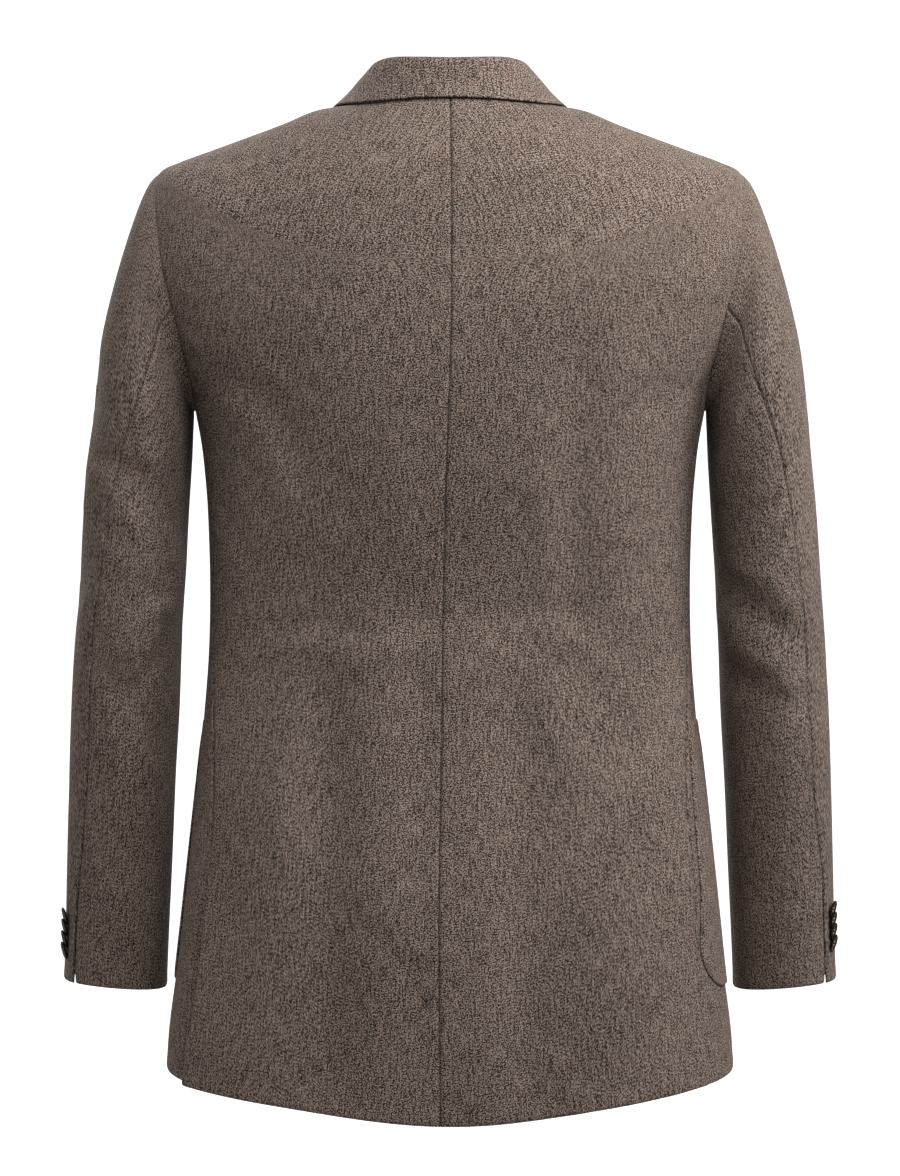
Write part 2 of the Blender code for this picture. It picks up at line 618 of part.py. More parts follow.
# ---- collar -------------------------------------------------------------------------------------
def collar_section(place):
    """Neck seam, fold and fall's edge of the collar at a place along it, in degrees of the neck."""
    sign = np.sign(place)
    where = np.abs(place)
    neck_angle = np.radians(where)
    edge_angle = np.radians(smooth(COLLAR["place"], COLLAR["angle"], where))
    edge_level = smooth(COLLAR["place"], COLLAR["level"], where)
    rise = smooth(COLLAR["place"], COLLAR["rise"], where)
    reach = smooth(COLLAR["place"], COLLAR["reach"], where)
    neck = body_bare(neck_angle, np.full_like(where, BODY["level"][0]))
    out = unit(np.stack([neck[:, 0], neck[:, 1], np.zeros_like(where)], axis=-1))
    fold = neck + out * reach[:, None]
    fold[:, 2] += rise
    edge = body(edge_angle, edge_level, 4.2 * MM - 1.5 * MM * ease(45.0, 85.0, where))
    turn = np.stack([np.where(sign < 0, -1.0, 1.0), np.ones_like(where), np.ones_like(where)], axis=-1)
    return neck * turn, fold * turn, edge * turn


def collar_points(place, across):
    """A collar point: up the stand (across 0 to 0.4), round the fold, and down the fall (to 1)."""
    neck, fold, edge = collar_section(place)
    size = np.clip((fold - neck)[:, 2] / (15 * MM), 0.2, 1.0)[:, None]
    up = np.array([0.0, 0.0, 1.0]) * size
    out = unit((edge - fold) * np.array([1.0, 1.0, 0.0]) + 1e-9) * size
    knots = [neck + np.array([0.0, 0.0, 1.1 * MM]), (neck + fold) / 2 + up * 1.0 * MM, fold - up * 3.0 * MM]
    knots.append(fold + out * 2.6 * MM)
    knots.append(fold + out * 5.4 * MM - up * 2.6 * MM)
    knots.append(fold * 0.62 + edge * 0.38 + up * 1.0 * MM + out * 1.6 * MM)
    knots.append(fold * 0.28 + edge * 0.72 + up * 0.6 * MM)
    knots.append(edge)
    marks = np.array([0.0, 0.2, 0.4, 0.5, 0.6, 0.74, 0.88, 1.0])
    knots = np.stack(knots)
    slopes = np.gradient(knots, marks, axis=0)
    place_in = np.clip(np.searchsorted(marks, across, side="right") - 1, 0, len(marks) - 2)
    step = (marks[place_in + 1] - marks[place_in])[None, :, None]
    t = ((across - marks[place_in]) / (marks[place_in + 1] - marks[place_in]))[None, :, None]
    here = knots[place_in].transpose(1, 0, 2)
    there = knots[place_in + 1].transpose(1, 0, 2)
    leave = slopes[place_in].transpose(1, 0, 2)
    arrive = slopes[place_in + 1].transpose(1, 0, 2)
    start = (1 + 2 * t) * (1 - t) ** 2 * here + t * (1 - t) ** 2 * step * leave
    return start + t * t * (3 - 2 * t) * there + t * t * (t - 1) * step * arrive


def collar(name):
    """Stand and fall in one folded wall, from gorge to gorge."""
    front = np.linspace(98.0, COLLAR_END, 7)
    place = np.concatenate([-front[::-1], np.linspace(-88.0, 88.0, 15), front])
    across = np.array([0.0, 0.2, 0.4, 0.45, 0.5, 0.55, 0.6, 0.74, 0.88, 1.0])
    points = collar_points(place, across)
    along = np.gradient(points, axis=0)
    over = np.gradient(points, axis=1)
    out = unit(np.cross(along, over))
    thick = WALL * 0.9
    return cloth_wall(name, points + out * thick / 2, points - out * thick / 2, colour="cloth_collar")


# ---- buttons ------------------------------------------------------------------------------------
def button(name, centre, normal, radius, height, sides=12):
    """A turned button: a disc with a raised round rim, its back on the cloth."""
    profile = [(0.80, 0.0), (1.0, 0.5), (0.86, 1.0), (0.62, 0.72)]
    turns = np.arange(sides) / sides * 2 * np.pi
    normal = unit(np.asarray(normal, dtype=float))
    aside = unit(np.cross(normal, [0.0, 0.0, 1.0]))
    upright = np.cross(normal, aside)
    rings = []
    for reach, rise in profile:
        ring = np.cos(turns)[:, None] * aside + np.sin(turns)[:, None] * upright
        rings.append(centre + ring * radius * reach + normal * height * rise)
    points = np.concatenate(rings)
    count = len(turns)
    faces = [tuple(range(count)), tuple(range(len(points) - count, len(points)))[::-1]]
    for ring in range(len(profile) - 1):
        for step in range(count):
            after = (step + 1) % count
            base = ring * count
            faces.append((base + after, base + step, base + count + step, base + count + after))
    return add_solid(name, points, faces, "horn", 0.35)


def front_buttons():
    """Three rows of two on the outer cloth; the top pair stands wider."""
    number = 1
    for (x, z), lift in zip(((0.084, -0.300), (0.054, -0.400), (0.054, -0.505)), FRONT_BUTTON["lifts"]):
        for side in (1, -1):
            angle, level = locate(np.array([x * side]), np.array([z]))
            layer = 1 if side > 0 or z < BREAK_Z else -1

            def outside(first, second, layer=layer, lift=lift):
                return body(first, second, overlap_lift(first, second, layer) + lift)
            seat = outside(angle, level)[0]
            out = normals(outside, angle, level)[0]
            button(f"front_button_{number}", seat, out, FRONT_BUTTON["radius"], FRONT_BUTTON["height"])
            number += 1


def cuff_buttons(side):
    """Four buttons in a kissing row beside the cuff's vent; each tilts with its top edge out."""
    word = "left" if side > 0 else "right"
    tilt = np.radians(CUFF_BUTTON["tilt"])
    radius = CUFF_BUTTON["radius"]
    for number in range(CUFF_BUTTON["count"]):
        z = CUFF_BUTTON["first_z"] - CUFF_BUTTON["pitch"] * number - (CUFF_BUTTON["left_drop"] if side > 0 else 0.0)
        station = np.array([np.interp(-z, -SLEEVE["out_z"], np.arange(1, 15))])
        turn = np.radians([CUFF_BUTTON[f"turn_{word}"]])
        seat = sleeve(turn, station, side)[0]
        ahead = sleeve(turn, station, side, 0.01)[0] - seat
        out = unit(ahead)
        down = unit(sleeve(turn, station + 0.1, side)[0] - sleeve(turn, station - 0.1, side)[0])
        face = unit(out * np.cos(tilt) + down * np.sin(tilt))
        centre = seat + out * (0.85 * radius * np.sin(tilt) + CUFF_BUTTON["lift"])
        button(f"cuff_button_{word}_{number + 1}", mirrored(centre, side), mirrored(face, side), radius,
               CUFF_BUTTON["height"], 10)


def main():
    """Clear the scene and make every piece."""
    for old in list(bpy.data.objects):
        bpy.data.objects.remove(old, do_unlink=True)
    for word, side, flare in (("left", 1, 6.5 * MM), ("right", -1, 0.6 * MM)):
        back_panel(f"back_{word}", side, flare)
        side_panel(f"side_{word}", side)
        front_panel(f"front_{word}", side)
        lapel(f"lapel_{word}", side)
        pocket(f"pocket_{word}", side)
        sleeve_piece(f"sleeve_top_{word}", side, True)
        sleeve_piece(f"sleeve_under_{word}", side, False)
        cuff_buttons(side)
    collar("collar")
    front_buttons()
    triangles = 0
    for solid in bpy.data.objects:
        triangles += sum(len(face.vertices) - 2 for face in solid.data.polygons)
    print("pieces", len(bpy.data.objects), "triangles", triangles)


main()
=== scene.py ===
# %% [markdown]
# # A double-breasted wool blazer, seen from behind
# The CAD model holds the blazer's worn form as plain walls. This script keeps that form and dresses it:
# every panel becomes a fine shell of cloth with its seams, folds, edges and weave. The lesson starts with
# the frame, the light and the camera, then makes the cloth, and then sews the pieces on one by one.

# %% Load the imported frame
import bpy
import numpy as np
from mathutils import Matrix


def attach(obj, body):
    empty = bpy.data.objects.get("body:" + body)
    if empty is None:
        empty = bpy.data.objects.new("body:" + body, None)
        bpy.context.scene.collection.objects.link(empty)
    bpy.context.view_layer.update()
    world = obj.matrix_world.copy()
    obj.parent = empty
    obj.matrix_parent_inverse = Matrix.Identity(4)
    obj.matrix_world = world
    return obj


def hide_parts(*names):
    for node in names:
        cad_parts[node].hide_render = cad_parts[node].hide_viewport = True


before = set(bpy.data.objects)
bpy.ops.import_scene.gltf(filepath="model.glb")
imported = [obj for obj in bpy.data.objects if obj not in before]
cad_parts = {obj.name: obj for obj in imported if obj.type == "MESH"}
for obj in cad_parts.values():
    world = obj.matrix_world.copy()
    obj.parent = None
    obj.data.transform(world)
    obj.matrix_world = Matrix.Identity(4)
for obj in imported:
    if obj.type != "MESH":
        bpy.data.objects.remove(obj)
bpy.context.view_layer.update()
MM = 0.001

# %% [markdown]
# ## Light, floor and camera
# A blazer for sale is photographed in a bright studio: soft lights above it and on the picture's right, a
# larger and weaker one on the left, one for the front, and a white wall. The first three stand close, so
# their light falls off down the back. The camera looks level at the middle of the back from 3 m, with a long
# lens, which keeps the proportions calm. The wall stands far off and the floor lies low, so that the wall
# alone fills the picture.

# %% Camera
CAMERA_PLACE = (0.0, 3.0, -0.358)
CAMERA_LENS = 123.3
SENSOR = 36.0

camera_data = bpy.data.cameras.new("camera")
camera_data.sensor_width = SENSOR
camera_data.sensor_fit = "AUTO"
camera_data.lens = CAMERA_LENS
camera_data.clip_start = 0.05
camera = bpy.data.objects.new("camera", camera_data)
camera.location = CAMERA_PLACE
camera.rotation_euler = (np.pi / 2, 0.0, np.pi)
bpy.context.scene.collection.objects.link(camera)
bpy.context.scene.camera = camera
print("camera at", tuple(camera.location), "lens", round(camera_data.lens, 1))

# %% Floor and wall
FLOOR_Z = -2.55
WALL_Y = -11.0
WALL_TOP = 9.0
STAGE_REACH = 14.0
FLOOR_COLOUR = (0.86, 0.86, 0.86)
WHITE = (1.0, 1.0, 1.0)


def plain_material(name, colour, roughness, glow=0.0):
    """A material with one colour; a glow makes a lit studio wall."""
    made = bpy.data.materials.new(name)
    made.use_nodes = True
    shader = made.node_tree.nodes["Principled BSDF"]
    shader.inputs["Base Color"].default_value = (*colour, 1.0)
    shader.inputs["Roughness"].default_value = roughness
    shader.inputs["Specular IOR Level"].default_value = 0.1
    shader.inputs["Emission Color"].default_value = (*colour, 1.0)
    shader.inputs["Emission Strength"].default_value = glow
    return made


def stage_sheet(name, corners, paint):
    """One flat face of the stage, which isn't part of the blazer."""
    mesh = bpy.data.meshes.new(name)
    mesh.from_pydata(corners, [], [(0, 1, 2, 3)])
    mesh.materials.append(paint)
    sheet = bpy.data.objects.new(name, mesh)
    bpy.context.scene.collection.objects.link(sheet)


FLOOR_CORNERS = ((-1, -1), (1, -1), (1, 1), (-1, 1))
WALL_CORNERS = ((1, FLOOR_Z), (-1, FLOOR_Z), (-1, WALL_TOP), (1, WALL_TOP))
stage_sheet("floor", [(x * STAGE_REACH, y * STAGE_REACH, FLOOR_Z) for x, y in FLOOR_CORNERS],
            plain_material("studio_floor", FLOOR_COLOUR, 0.8))
stage_sheet("wall", [(x * STAGE_REACH, WALL_Y, z) for x, z in WALL_CORNERS],
            plain_material("studio_wall", WHITE, 0.9, 1.0))

# %% Lights
LIGHTS = {
    "key": {"place": (-0.6, 1.4, 0.9), "size": 0.7, "power": 13.8},
    "top": {"place": (0.0, 0.8, 1.6), "size": 0.9, "power": 17.0},
    "side_right": {"place": (-1.4, 0.5, 0.6), "size": 0.7, "power": 19.0},
    "side_left": {"place": (2.6, 0.4, -0.1), "size": 1.4, "power": 8.0},
    "front": {"place": (0.8, -2.6, 1.6), "size": 2.2, "power": 62.0},
}
AIM = np.array([0.0, 0.0, -0.35])
WORLD_LIGHT = 0.10


def aimed(place):
    """Euler angles that turn a light at a place to the middle of the blazer."""
    away = AIM - np.array(place)
    distance = np.hypot(away[0], away[1])
    return np.arctan2(distance, -away[2]), 0.0, np.arctan2(-away[0], away[1])


for name, light in LIGHTS.items():
    lamp_data = bpy.data.lights.new(name, "AREA")
    lamp_data.size = light["size"]
    lamp_data.energy = light["power"]
    lamp = bpy.data.objects.new(name, lamp_data)
    lamp.location = light["place"]
    lamp.rotation_euler = aimed(light["place"])
    bpy.context.scene.collection.objects.link(lamp)
world = bpy.data.worlds.new("studio")
world.use_nodes = True
world.node_tree.nodes["Background"].inputs["Color"].default_value = (*WHITE, 1.0)
world.node_tree.nodes["Background"].inputs["Strength"].default_value = WORLD_LIGHT
bpy.context.scene.world = world
bpy.context.scene.view_settings.view_transform = "Standard"
print("lights:", list(LIGHTS))

# %% [markdown]
# ## Smooth tables
# A tailor's draft is a short list of measures with smooth curves between them. Here a table holds the
# measures in millimetres and one spline formula reads them anywhere, so a surface can be as fine as needed.

# %% Tables and curves


def table(names, rows, plain=()):
    """Columns of a short table of millimetres, by name and in metres; the plain columns keep their value."""
    values = np.array(rows, dtype=float)
    columns = {}
    for number, name in enumerate(names.split()):
        columns[name] = values[:, number] * (1.0 if name in plain else MM)
    return columns


def hermite(t, step, here, there, leave, arrive):
    """Cubic over one span: (1 + 2t)(1 - t)^2 here + t (1 - t)^2 step leave + t^2 (3 - 2t) there
    + t^2 (t - 1) step arrive, with the slopes leave and arrive at the span's two ends."""
    start = (1 + 2 * t) * (1 - t) ** 2 * here + t * (1 - t) ** 2 * step * leave
    return start + t * t * (3 - 2 * t) * there + t * t * (t - 1) * step * arrive


def smooth(xs, ys, x):
    """Hermite curve through (xs, ys), with each point's slope taken from its neighbours."""
    x = np.clip(x, xs[0] - 0.001, xs[-1] + 0.001)
    slopes = np.gradient(ys, xs)
    place = np.clip(np.searchsorted(xs, x, side="right") - 1, 0, len(xs) - 2)
    step = xs[place + 1] - xs[place]
    t = (x - xs[place]) / step
    return hermite(t, step, ys[place], ys[place + 1], slopes[place], slopes[place + 1])


def ease(low, high, x):
    """0 below low, 1 above high, and an even S between them."""
    t = np.clip((x - low) / (high - low), 0.0, 1.0)
    return t * t * (3 - 2 * t)


def bell(distance, reach):
    """exp(-(distance / reach)^2): 1 on a line, and nearly 0 at twice its reach."""
    return np.exp(-(distance / reach) ** 2)


def unit(vectors):
    """The vectors at length 1."""
    return vectors / np.maximum(np.linalg.norm(vectors, axis=-1, keepdims=True), 1e-12)


# %% [markdown]
# ## The body's form
# A jacket that is worn hangs from the shoulders over chest, waist and hips. Its rings could be sculpted,
# but a superellipse for each height, with its depth and width from a table, gives a form that can be
# measured and matched. The ring is highest at the shoulders' crest, so it is bent up at the sides there.

# %% Body rings
BODY = table("level side_x side_z side_y back_y front_y front_z square", [
    (-10, 60, 2, 12, 71, -82, -50, 2.2),
    (5, 78, -1, 11, 81, -90, -62, 2.2),
    (20, 98, -4, 10, 89.5, -98, -74, 2.25),
    (40, 124, -14.3, 8, 99, -106, -90, 2.3),
    (60, 152, -24.5, 6, 106, -114, -106, 2.35),
    (80, 179, -34.2, 4, 111, -120, -121, 2.4),
    (100, 200, -41.8, 3, 114.5, -125, -136, 2.45),
    (121, 216.5, -51, 2, 117, -129, -150, 2.5),
    (140, 226, -75, 1, 118, -132, -165, 2.55),
    (160, 228, -113, 0, 118.5, -134, -180, 2.6),
    (180, 219, -147, -1, 118, -135.5, -195, 2.6),
    (200, 207, -179, -2, 117, -136, -211, 2.6),
    (220, 194, -207, -2, 115.5, -136, -226, 2.6),
    (240, 187.2, -237, -2, 113.5, -135, -243, 2.55),
    (280, 181.5, -280, -1, 108, -131, -280, 2.5),
    (320, 179.2, -320, 0, 101, -127, -320, 2.5),
    (360, 178.4, -360, 0, 95, -123, -360, 2.5),
    (405, 179.3, -405, 0, 93, -121, -405, 2.5),
    (450, 182.6, -450, 0, 98, -121, -450, 2.5),
    (510, 188.6, -510, 1, 109, -123, -510, 2.5),
    (570, 194.8, -570, 2, 118, -125, -570, 2.45),
    (630, 201.4, -630, 3, 124, -127, -630, 2.45),
    (690, 209, -690, 3, 127, -129, -690, 2.4),
    (750, 211, -750, 3, 129, -130, -750, 2.4),
], plain=("square",))


def ring_column(name, level):
    """One column of the body's table at a level."""
    return smooth(BODY["level"], BODY[name], level)


def body_bare(angle, level):
    """radius = ((|cos| / depth)^n + (|sin| / width)^n)^(-1/n) round the ring's middle; z eases from the
    side's height to the back's or the front's as 1 - |sin|^6."""
    sine, cosine = np.sin(angle), np.cos(angle)
    square = ring_column("square", level)
    middle = ring_column("side_y", level)
    depth = np.where(cosine >= 0, ring_column("back_y", level) - middle,
                     middle - ring_column("front_y", level))
    width = ring_column("side_x", level)
    radius = ((np.abs(cosine) / depth) ** square + (np.abs(sine) / width) ** square) ** (-1.0 / square)
    side_z = ring_column("side_z", level)
    far_z = np.where(cosine >= 0, -level, ring_column("front_z", level))
    z = side_z + (far_z - side_z) * (1.0 - np.abs(sine) ** 6)
    return np.stack([radius * sine, middle + radius * cosine, z], axis=-1)


def normals(surface, first, second, step=2e-4):
    """Outward unit normals: the cross product of small steps along the two parameters."""
    along = surface(first + step, second) - surface(first - step, second)
    down = surface(first, second + step) - surface(first, second - step)
    return unit(np.cross(along, down))


print("chest half width", round(float(body_bare(np.array(np.pi / 2), np.array(0.24))[0]), 4))

# %% [markdown]
# ## Folds
# Worn cloth never lies like a drum: it breaks at the waist, hangs in long soft ridges below it, and pulls
# in fans from the armholes. Each fold is a bell across a line, which fades past the line's ends. The large
# ones are the CAD model's own. The small creases are placed one by one after the photograph, each with its
# own width and height; a bow bends its line. A simulation would put them where it likes, so they are drawn.

# %% Fold tables
BODY_FOLDS = table("x0 z0 x1 z1 width height side", [
    (135, -130, 118, -235, 30, -3.5, 1), (-122, -205, -126, -370, 19, 3.5, 1),
    (-93, -200, -90, -360, 17, -3.0, 1), (93, -402, -14, -417, 17, 2.8, 1),
    (-36, -402, -175, -575, 20, 3.0, 1), (57, -420, 50, -585, 22, 3.6, 1), (-15, -445, -24, -722, 18, 3.0, 1),
    (90, -430, 86, -690, 16, -3.8, 1), (-50, -440, -56, -690, 15, -3.2, 1),
    (130, -560, 138, -735, 24, 4.0, 1), (-120, -600, -128, -735, 22, 3.2, 1),
    (95, -300, 150, -260, 18, 2.5, -1), (-100, -310, -150, -255, 18, 2.5, -1),
    (96, -405, 155, -430, 16, -2.4, -1), (-98, -405, -155, -440, 16, -2.4, -1),
    (110, -520, 120, -720, 24, 3.0, -1), (-115, -500, -122, -720, 22, 3.0, -1),
], plain=("side",))
BODY_CREASES = table("x0 z0 x1 z1 bow width height side", [
    # back: drape below the blades, waist breaks, skirt
    (158, -205, 112, -262, 8, 9, -1.5, 1), (150, -235, 120, -300, 6, 8, 1.2, 1),
    (168, -262, 150, -330, -5, 7, -1.1, 1), (-160, -215, -118, -275, -8, 9, -1.3, 1),
    (-150, -250, -138, -320, 5, 8, 1.0, 1), (-66, -290, -72, -385, 3, 9, 1.2, 1),
    (40, -240, 30, -330, -4, 12, 0.9, 1), (74, -300, 92, -372, 5, 9, -1.0, 1),
    (120, -385, 60, -398, 5, 8, -1.1, 1), (52, -402, -8, -392, -4, 7, 1.0, 1),
    (-30, -384, -88, -372, 5, 8, -1.0, 1), (-90, -398, -138, -452, 6, 9, 1.2, 1),
    (20, -430, 26, -520, 5, 9, -1.0, 1), (108, -440, 122, -540, -6, 9, 1.1, 1),
    (-80, -470, -96, -590, 6, 10, 1.1, 1), (-130, -480, -142, -560, -4, 9, -1.0, 1),
    (60, -600, 22, -660, 6, 9, -0.9, 1), (-64, -690, -92, -735, 5, 8, 1.0, 1),
    (8, -560, 4, -680, 3, 9, 0.8, 1), (150, -600, 156, -680, 4, 9, -1.0, 1),
    (-150, -640, -158, -720, -3, 9, 0.9, 1),
    # front: pulls to the button, waist and skirt
    (60, -398, 120, -372, 6, 8, 1.2, -1), (62, -408, 128, -412, -5, 8, -1.0, -1),
    (-62, -398, -118, -380, -6, 8, 1.1, -1), (-64, -412, -126, -424, 5, 8, -0.9, -1),
    (130, -210, 152, -262, 6, 9, -1.2, -1), (-132, -212, -154, -266, -6, 9, -1.2, -1),
    (70, -560, 78, -690, 5, 11, 1.1, -1), (-66, -560, -80, -700, -5, 11, -1.0, -1),
    (20, -470, 16, -600, 4, 12, 0.8, -1), (150, -300, 120, -350, 5, 8, 1.0, -1),
    (-150, -306, -124, -352, -5, 8, 1.0, -1),
], plain=("side",))


FOLD_BELL = 0.7
END_FADE = 1.6
FACING_EDGE = (0.02, 0.07)


def fold_height(across, down, folds, side, x0, z0, x1, z1):
    """Sum of height * exp(-0.7 (aside / width)^2 - 0.7 (past / (1.6 width))^2) over the folds of one side:
    aside is the distance from the fold's bowed line, and past the distance beyond its ends."""
    total = np.zeros_like(across)
    for row in np.flatnonzero(folds["side"] == side):
        run = np.array([x1[row] - x0[row], z1[row] - z0[row]])
        length = np.hypot(run[0], run[1])
        along = ((across - x0[row]) * run[0] + (down - z0[row]) * run[1]) / length
        aside = ((across - x0[row]) * run[1] - (down - z0[row]) * run[0]) / length
        if "bow" in folds:
            aside = aside - folds["bow"][row] * (1.0 - (2.0 * along / length - 1.0) ** 2)
        past = np.maximum(np.maximum(-along, along - length), 0.0)
        width = folds["width"][row]
        steep = -FOLD_BELL * (aside / width) ** 2 - FOLD_BELL * (past / (END_FADE * width)) ** 2
        total = total + folds["height"][row] * np.exp(steep)
    return total


def body_height(points, folds):
    """The folds' height on the body, from where a point lies in the back or front view."""
    height = np.zeros_like(points[..., 0])
    for side in (1, -1):
        facing = ease(*FACING_EDGE, side * points[..., 1])
        height = height + facing * fold_height(points[..., 0], points[..., 2], folds, side,
                                               folds["x0"], folds["z0"], folds["x1"], folds["z1"])
    return height


def body_folded(angle, level):
    """The body's form with its large folds."""
    bare = body_bare(angle, level)
    return bare + normals(body_bare, angle, level) * body_height(bare, BODY_FOLDS)[..., None]


CREASE_GAIN = 1.5


def body(angle, level, lift=0.0):
    """Points of the body's cloth with folds and creases, lifted off its outer face."""
    folded = body_folded(angle, level)
    height = CREASE_GAIN * body_height(folded, BODY_CREASES) + np.broadcast_to(lift, np.shape(angle))
    return folded + normals(body_folded, angle, level) * height[..., None]


print("large folds", len(BODY_FOLDS["side"]), "creases", len(BODY_CREASES["side"]))

# %% [markdown]
# ## Cloth
# The wool is a milled twill of mixed yarns: at arm's length it reads as salt and pepper, with the faint
# slant of the weave and some streaks along the warp. A picture could be laid on, but noise and waves on the
# piece's own UV map, which is in metres of cloth, follow each panel's grain and stay sharp at any size.
# Pale and dark fibres are a mask, so one node group serves the cloth and the lining with other values.

# %% Shader node groups


def new_group(name, inputs, outputs):
    """An empty shader group with named sockets, and its two end nodes."""
    group = bpy.data.node_groups.new(name, "ShaderNodeTree")
    for label, kind, value in inputs:
        socket = group.interface.new_socket(name=label, in_out="INPUT", socket_type=kind)
        if value is not None:
            socket.default_value = value
    for label, kind in outputs:
        group.interface.new_socket(name=label, in_out="OUTPUT", socket_type=kind)
    start = group.nodes.new("NodeGroupInput")
    end = group.nodes.new("NodeGroupOutput")
    return group, start, end


def add_node(tree, kind, inputs=None, **settings):
    """A node with its settings, and its inputs by name or number: a socket is linked, a value is set."""
    node = tree.nodes.new(kind)
    for key, value in settings.items():
        setattr(node, key, value)
    for key, value in (inputs or {}).items():
        if isinstance(value, bpy.types.NodeSocket):
            tree.links.new(value, node.inputs[key])
        else:
            node.inputs[key].default_value = value
    return node


def maths(tree, operation, first, second=0.0, third=0.0):
    """The output of a Math node."""
    return add_node(tree, "ShaderNodeMath", {0: first, 1: second, 2: third}, operation=operation).outputs[0]


def noise(tree, vector, scale, detail, roughness):
    """The output of a Noise Texture."""
    values = {"Vector": vector, "Scale": scale, "Detail": detail, "Roughness": roughness}
    return add_node(tree, "ShaderNodeTexNoise", values).outputs["Fac"]


def stretched(tree, vector, scale, turn=0.0):
    """The vector turned about Z and scaled by axis."""
    values = {"Vector": vector, "Rotation": (0.0, 0.0, turn), "Scale": scale}
    return add_node(tree, "ShaderNodeMapping", values, vector_type="TEXTURE" if turn else "POINT").outputs[0]


FIBRE_LAYERS = {
    "grain": {"scale": 1000.0, "detail": 1.0, "roughness": 0.6, "weight": 5.2, "stretch": None, "turn": 0.0},
    "knots": {"scale": 560.0, "detail": 1.0, "roughness": 0.5, "weight": 1.1, "stretch": None, "turn": 0.0},
    "streak": {"scale": 620.0, "detail": 1.0, "roughness": 0.5, "weight": 1.3, "stretch": 0.12, "turn": 0.0},
    "twill": {"scale": 700.0, "detail": 0.0, "roughness": 0.5, "weight": 0.9, "stretch": 0.22, "turn": 28.0},
}
FIBRE_MIDDLE = 0.35
CLOUD = {"scale": 9.0, "detail": 3.0, "roughness": 0.6}


def make_melange():
    """fibres = 0.35 + the sum of weight * (noise - 0.5) over the layers; cloud = a slow drift."""
    group, start, end = new_group("melange", [("Cloth", "NodeSocketVector", None)],
                                  [("Fibres", "NodeSocketFloat"), ("Cloud", "NodeSocketFloat")])
    cloth = start.outputs["Cloth"]
    fibres = FIBRE_MIDDLE
    for layer in FIBRE_LAYERS.values():
        place = cloth
        if layer["stretch"]:
            place = stretched(group, cloth, (1.0, layer["stretch"], 1.0), np.radians(layer["turn"]))
        pattern = noise(group, place, layer["scale"], layer["detail"], layer["roughness"])
        fibres = maths(group, "MULTIPLY_ADD", maths(group, "SUBTRACT", pattern, 0.5), layer["weight"], fibres)
    group.links.new(fibres, end.inputs["Fibres"])
    group.links.new(noise(group, cloth, **CLOUD), end.inputs["Cloud"])
    return group


MELANGE = make_melange()
print("group", MELANGE.name, "with", len(MELANGE.nodes), "nodes")

# %% Cloth materials


def mixed(tree, factor, dark, pale):
    """A colour between dark and pale by the factor."""
    node = add_node(tree, "ShaderNodeMix", {"Factor": factor}, data_type="RGBA", clamp_factor=True)
    for key, value in (("A", dark), ("B", pale)):
        socket = [s for s in node.inputs if s.name == key and s.type == "RGBA"][0]
        if isinstance(value, bpy.types.NodeSocket):
            tree.links.new(value, socket)
        else:
            socket.default_value = (*value, 1.0)
    return [s for s in node.outputs if s.type == "RGBA"][0]


CLOUD_SPAN = 0.34
# painted shade: in a seam's line the fibre mix is pulled towards the dark fibres, by 0.62 at most
PAINTED_SEAM_SHADE = 0.62
FIBRE_HEIGHT = 0.0006
BUMP = 0.05
SHEEN_TINT = (0.9, 0.84, 0.78, 1.0)


def cloth_material(name, dark, pale, roughness, sheen):
    """Dark and pale fibres mixed by the melange mask, a slow cloud over them, and painted shade in the seams.
    """
    made = bpy.data.materials.new(name)
    made.use_nodes = True
    tree = made.node_tree
    shader = tree.nodes["Principled BSDF"]
    uv = add_node(tree, "ShaderNodeUVMap", uv_map="cloth").outputs[0]
    weave = add_node(tree, "ShaderNodeGroup", {}, node_tree=MELANGE)
    tree.links.new(uv, weave.inputs["Cloth"])
    cloud = maths(tree, "MULTIPLY_ADD", weave.outputs["Cloud"], CLOUD_SPAN, -CLOUD_SPAN / 2)
    factor = maths(tree, "ADD", weave.outputs["Fibres"], cloud)
    # painted shade along the seams, read from the mesh's seam attribute
    seam = add_node(tree, "ShaderNodeAttribute", {}, attribute_name="seam").outputs["Fac"]
    shade = maths(tree, "MULTIPLY_ADD", seam, -PAINTED_SEAM_SHADE, 1.0)
    factor = maths(tree, "MULTIPLY", factor, shade)
    tree.links.new(mixed(tree, factor, dark, pale), shader.inputs["Base Color"])
    values = {"Strength": BUMP, "Distance": FIBRE_HEIGHT, "Height": weave.outputs["Fibres"]}
    tree.links.new(add_node(tree, "ShaderNodeBump", values).outputs[0], shader.inputs["Normal"])
    shader.inputs["Roughness"].default_value = roughness
    shader.inputs["Specular IOR Level"].default_value = 0.15
    shader.inputs["Sheen Weight"].default_value = sheen
    shader.inputs["Sheen Roughness"].default_value = 0.6
    shader.inputs["Sheen Tint"].default_value = SHEEN_TINT
    return made


WOOL = cloth_material("wool", (0.012, 0.008, 0.006), (0.440, 0.338, 0.280), 0.95, 0.06)
LINING = cloth_material("lining", (0.034, 0.022, 0.017), (0.060, 0.040, 0.031), 0.38, 0.0)
print("materials", WOOL.name, LINING.name)

# %% [markdown]
# ## A shell of cloth
# Every cut piece is the same kind of thing: two faces of cloth, a wall apart, with a rounded rim. At a
# sewn edge the outer face dives into the seam, and the turned-in allowance below lifts a soft band beside
# it. At a free edge the cloth is folded over, so the rim is full and round. A Solidify modifier would make
# the wall, but not these two kinds of edge, so the shell is worked out on the grid itself.

# %% Grid helpers
WALL = 1.8 * MM
EDGE_STEPS = np.array([0.0, 0.5, 1.1, 1.9, 3.0, 4.6, 7.0]) * MM
STEP = 3.2 * MM


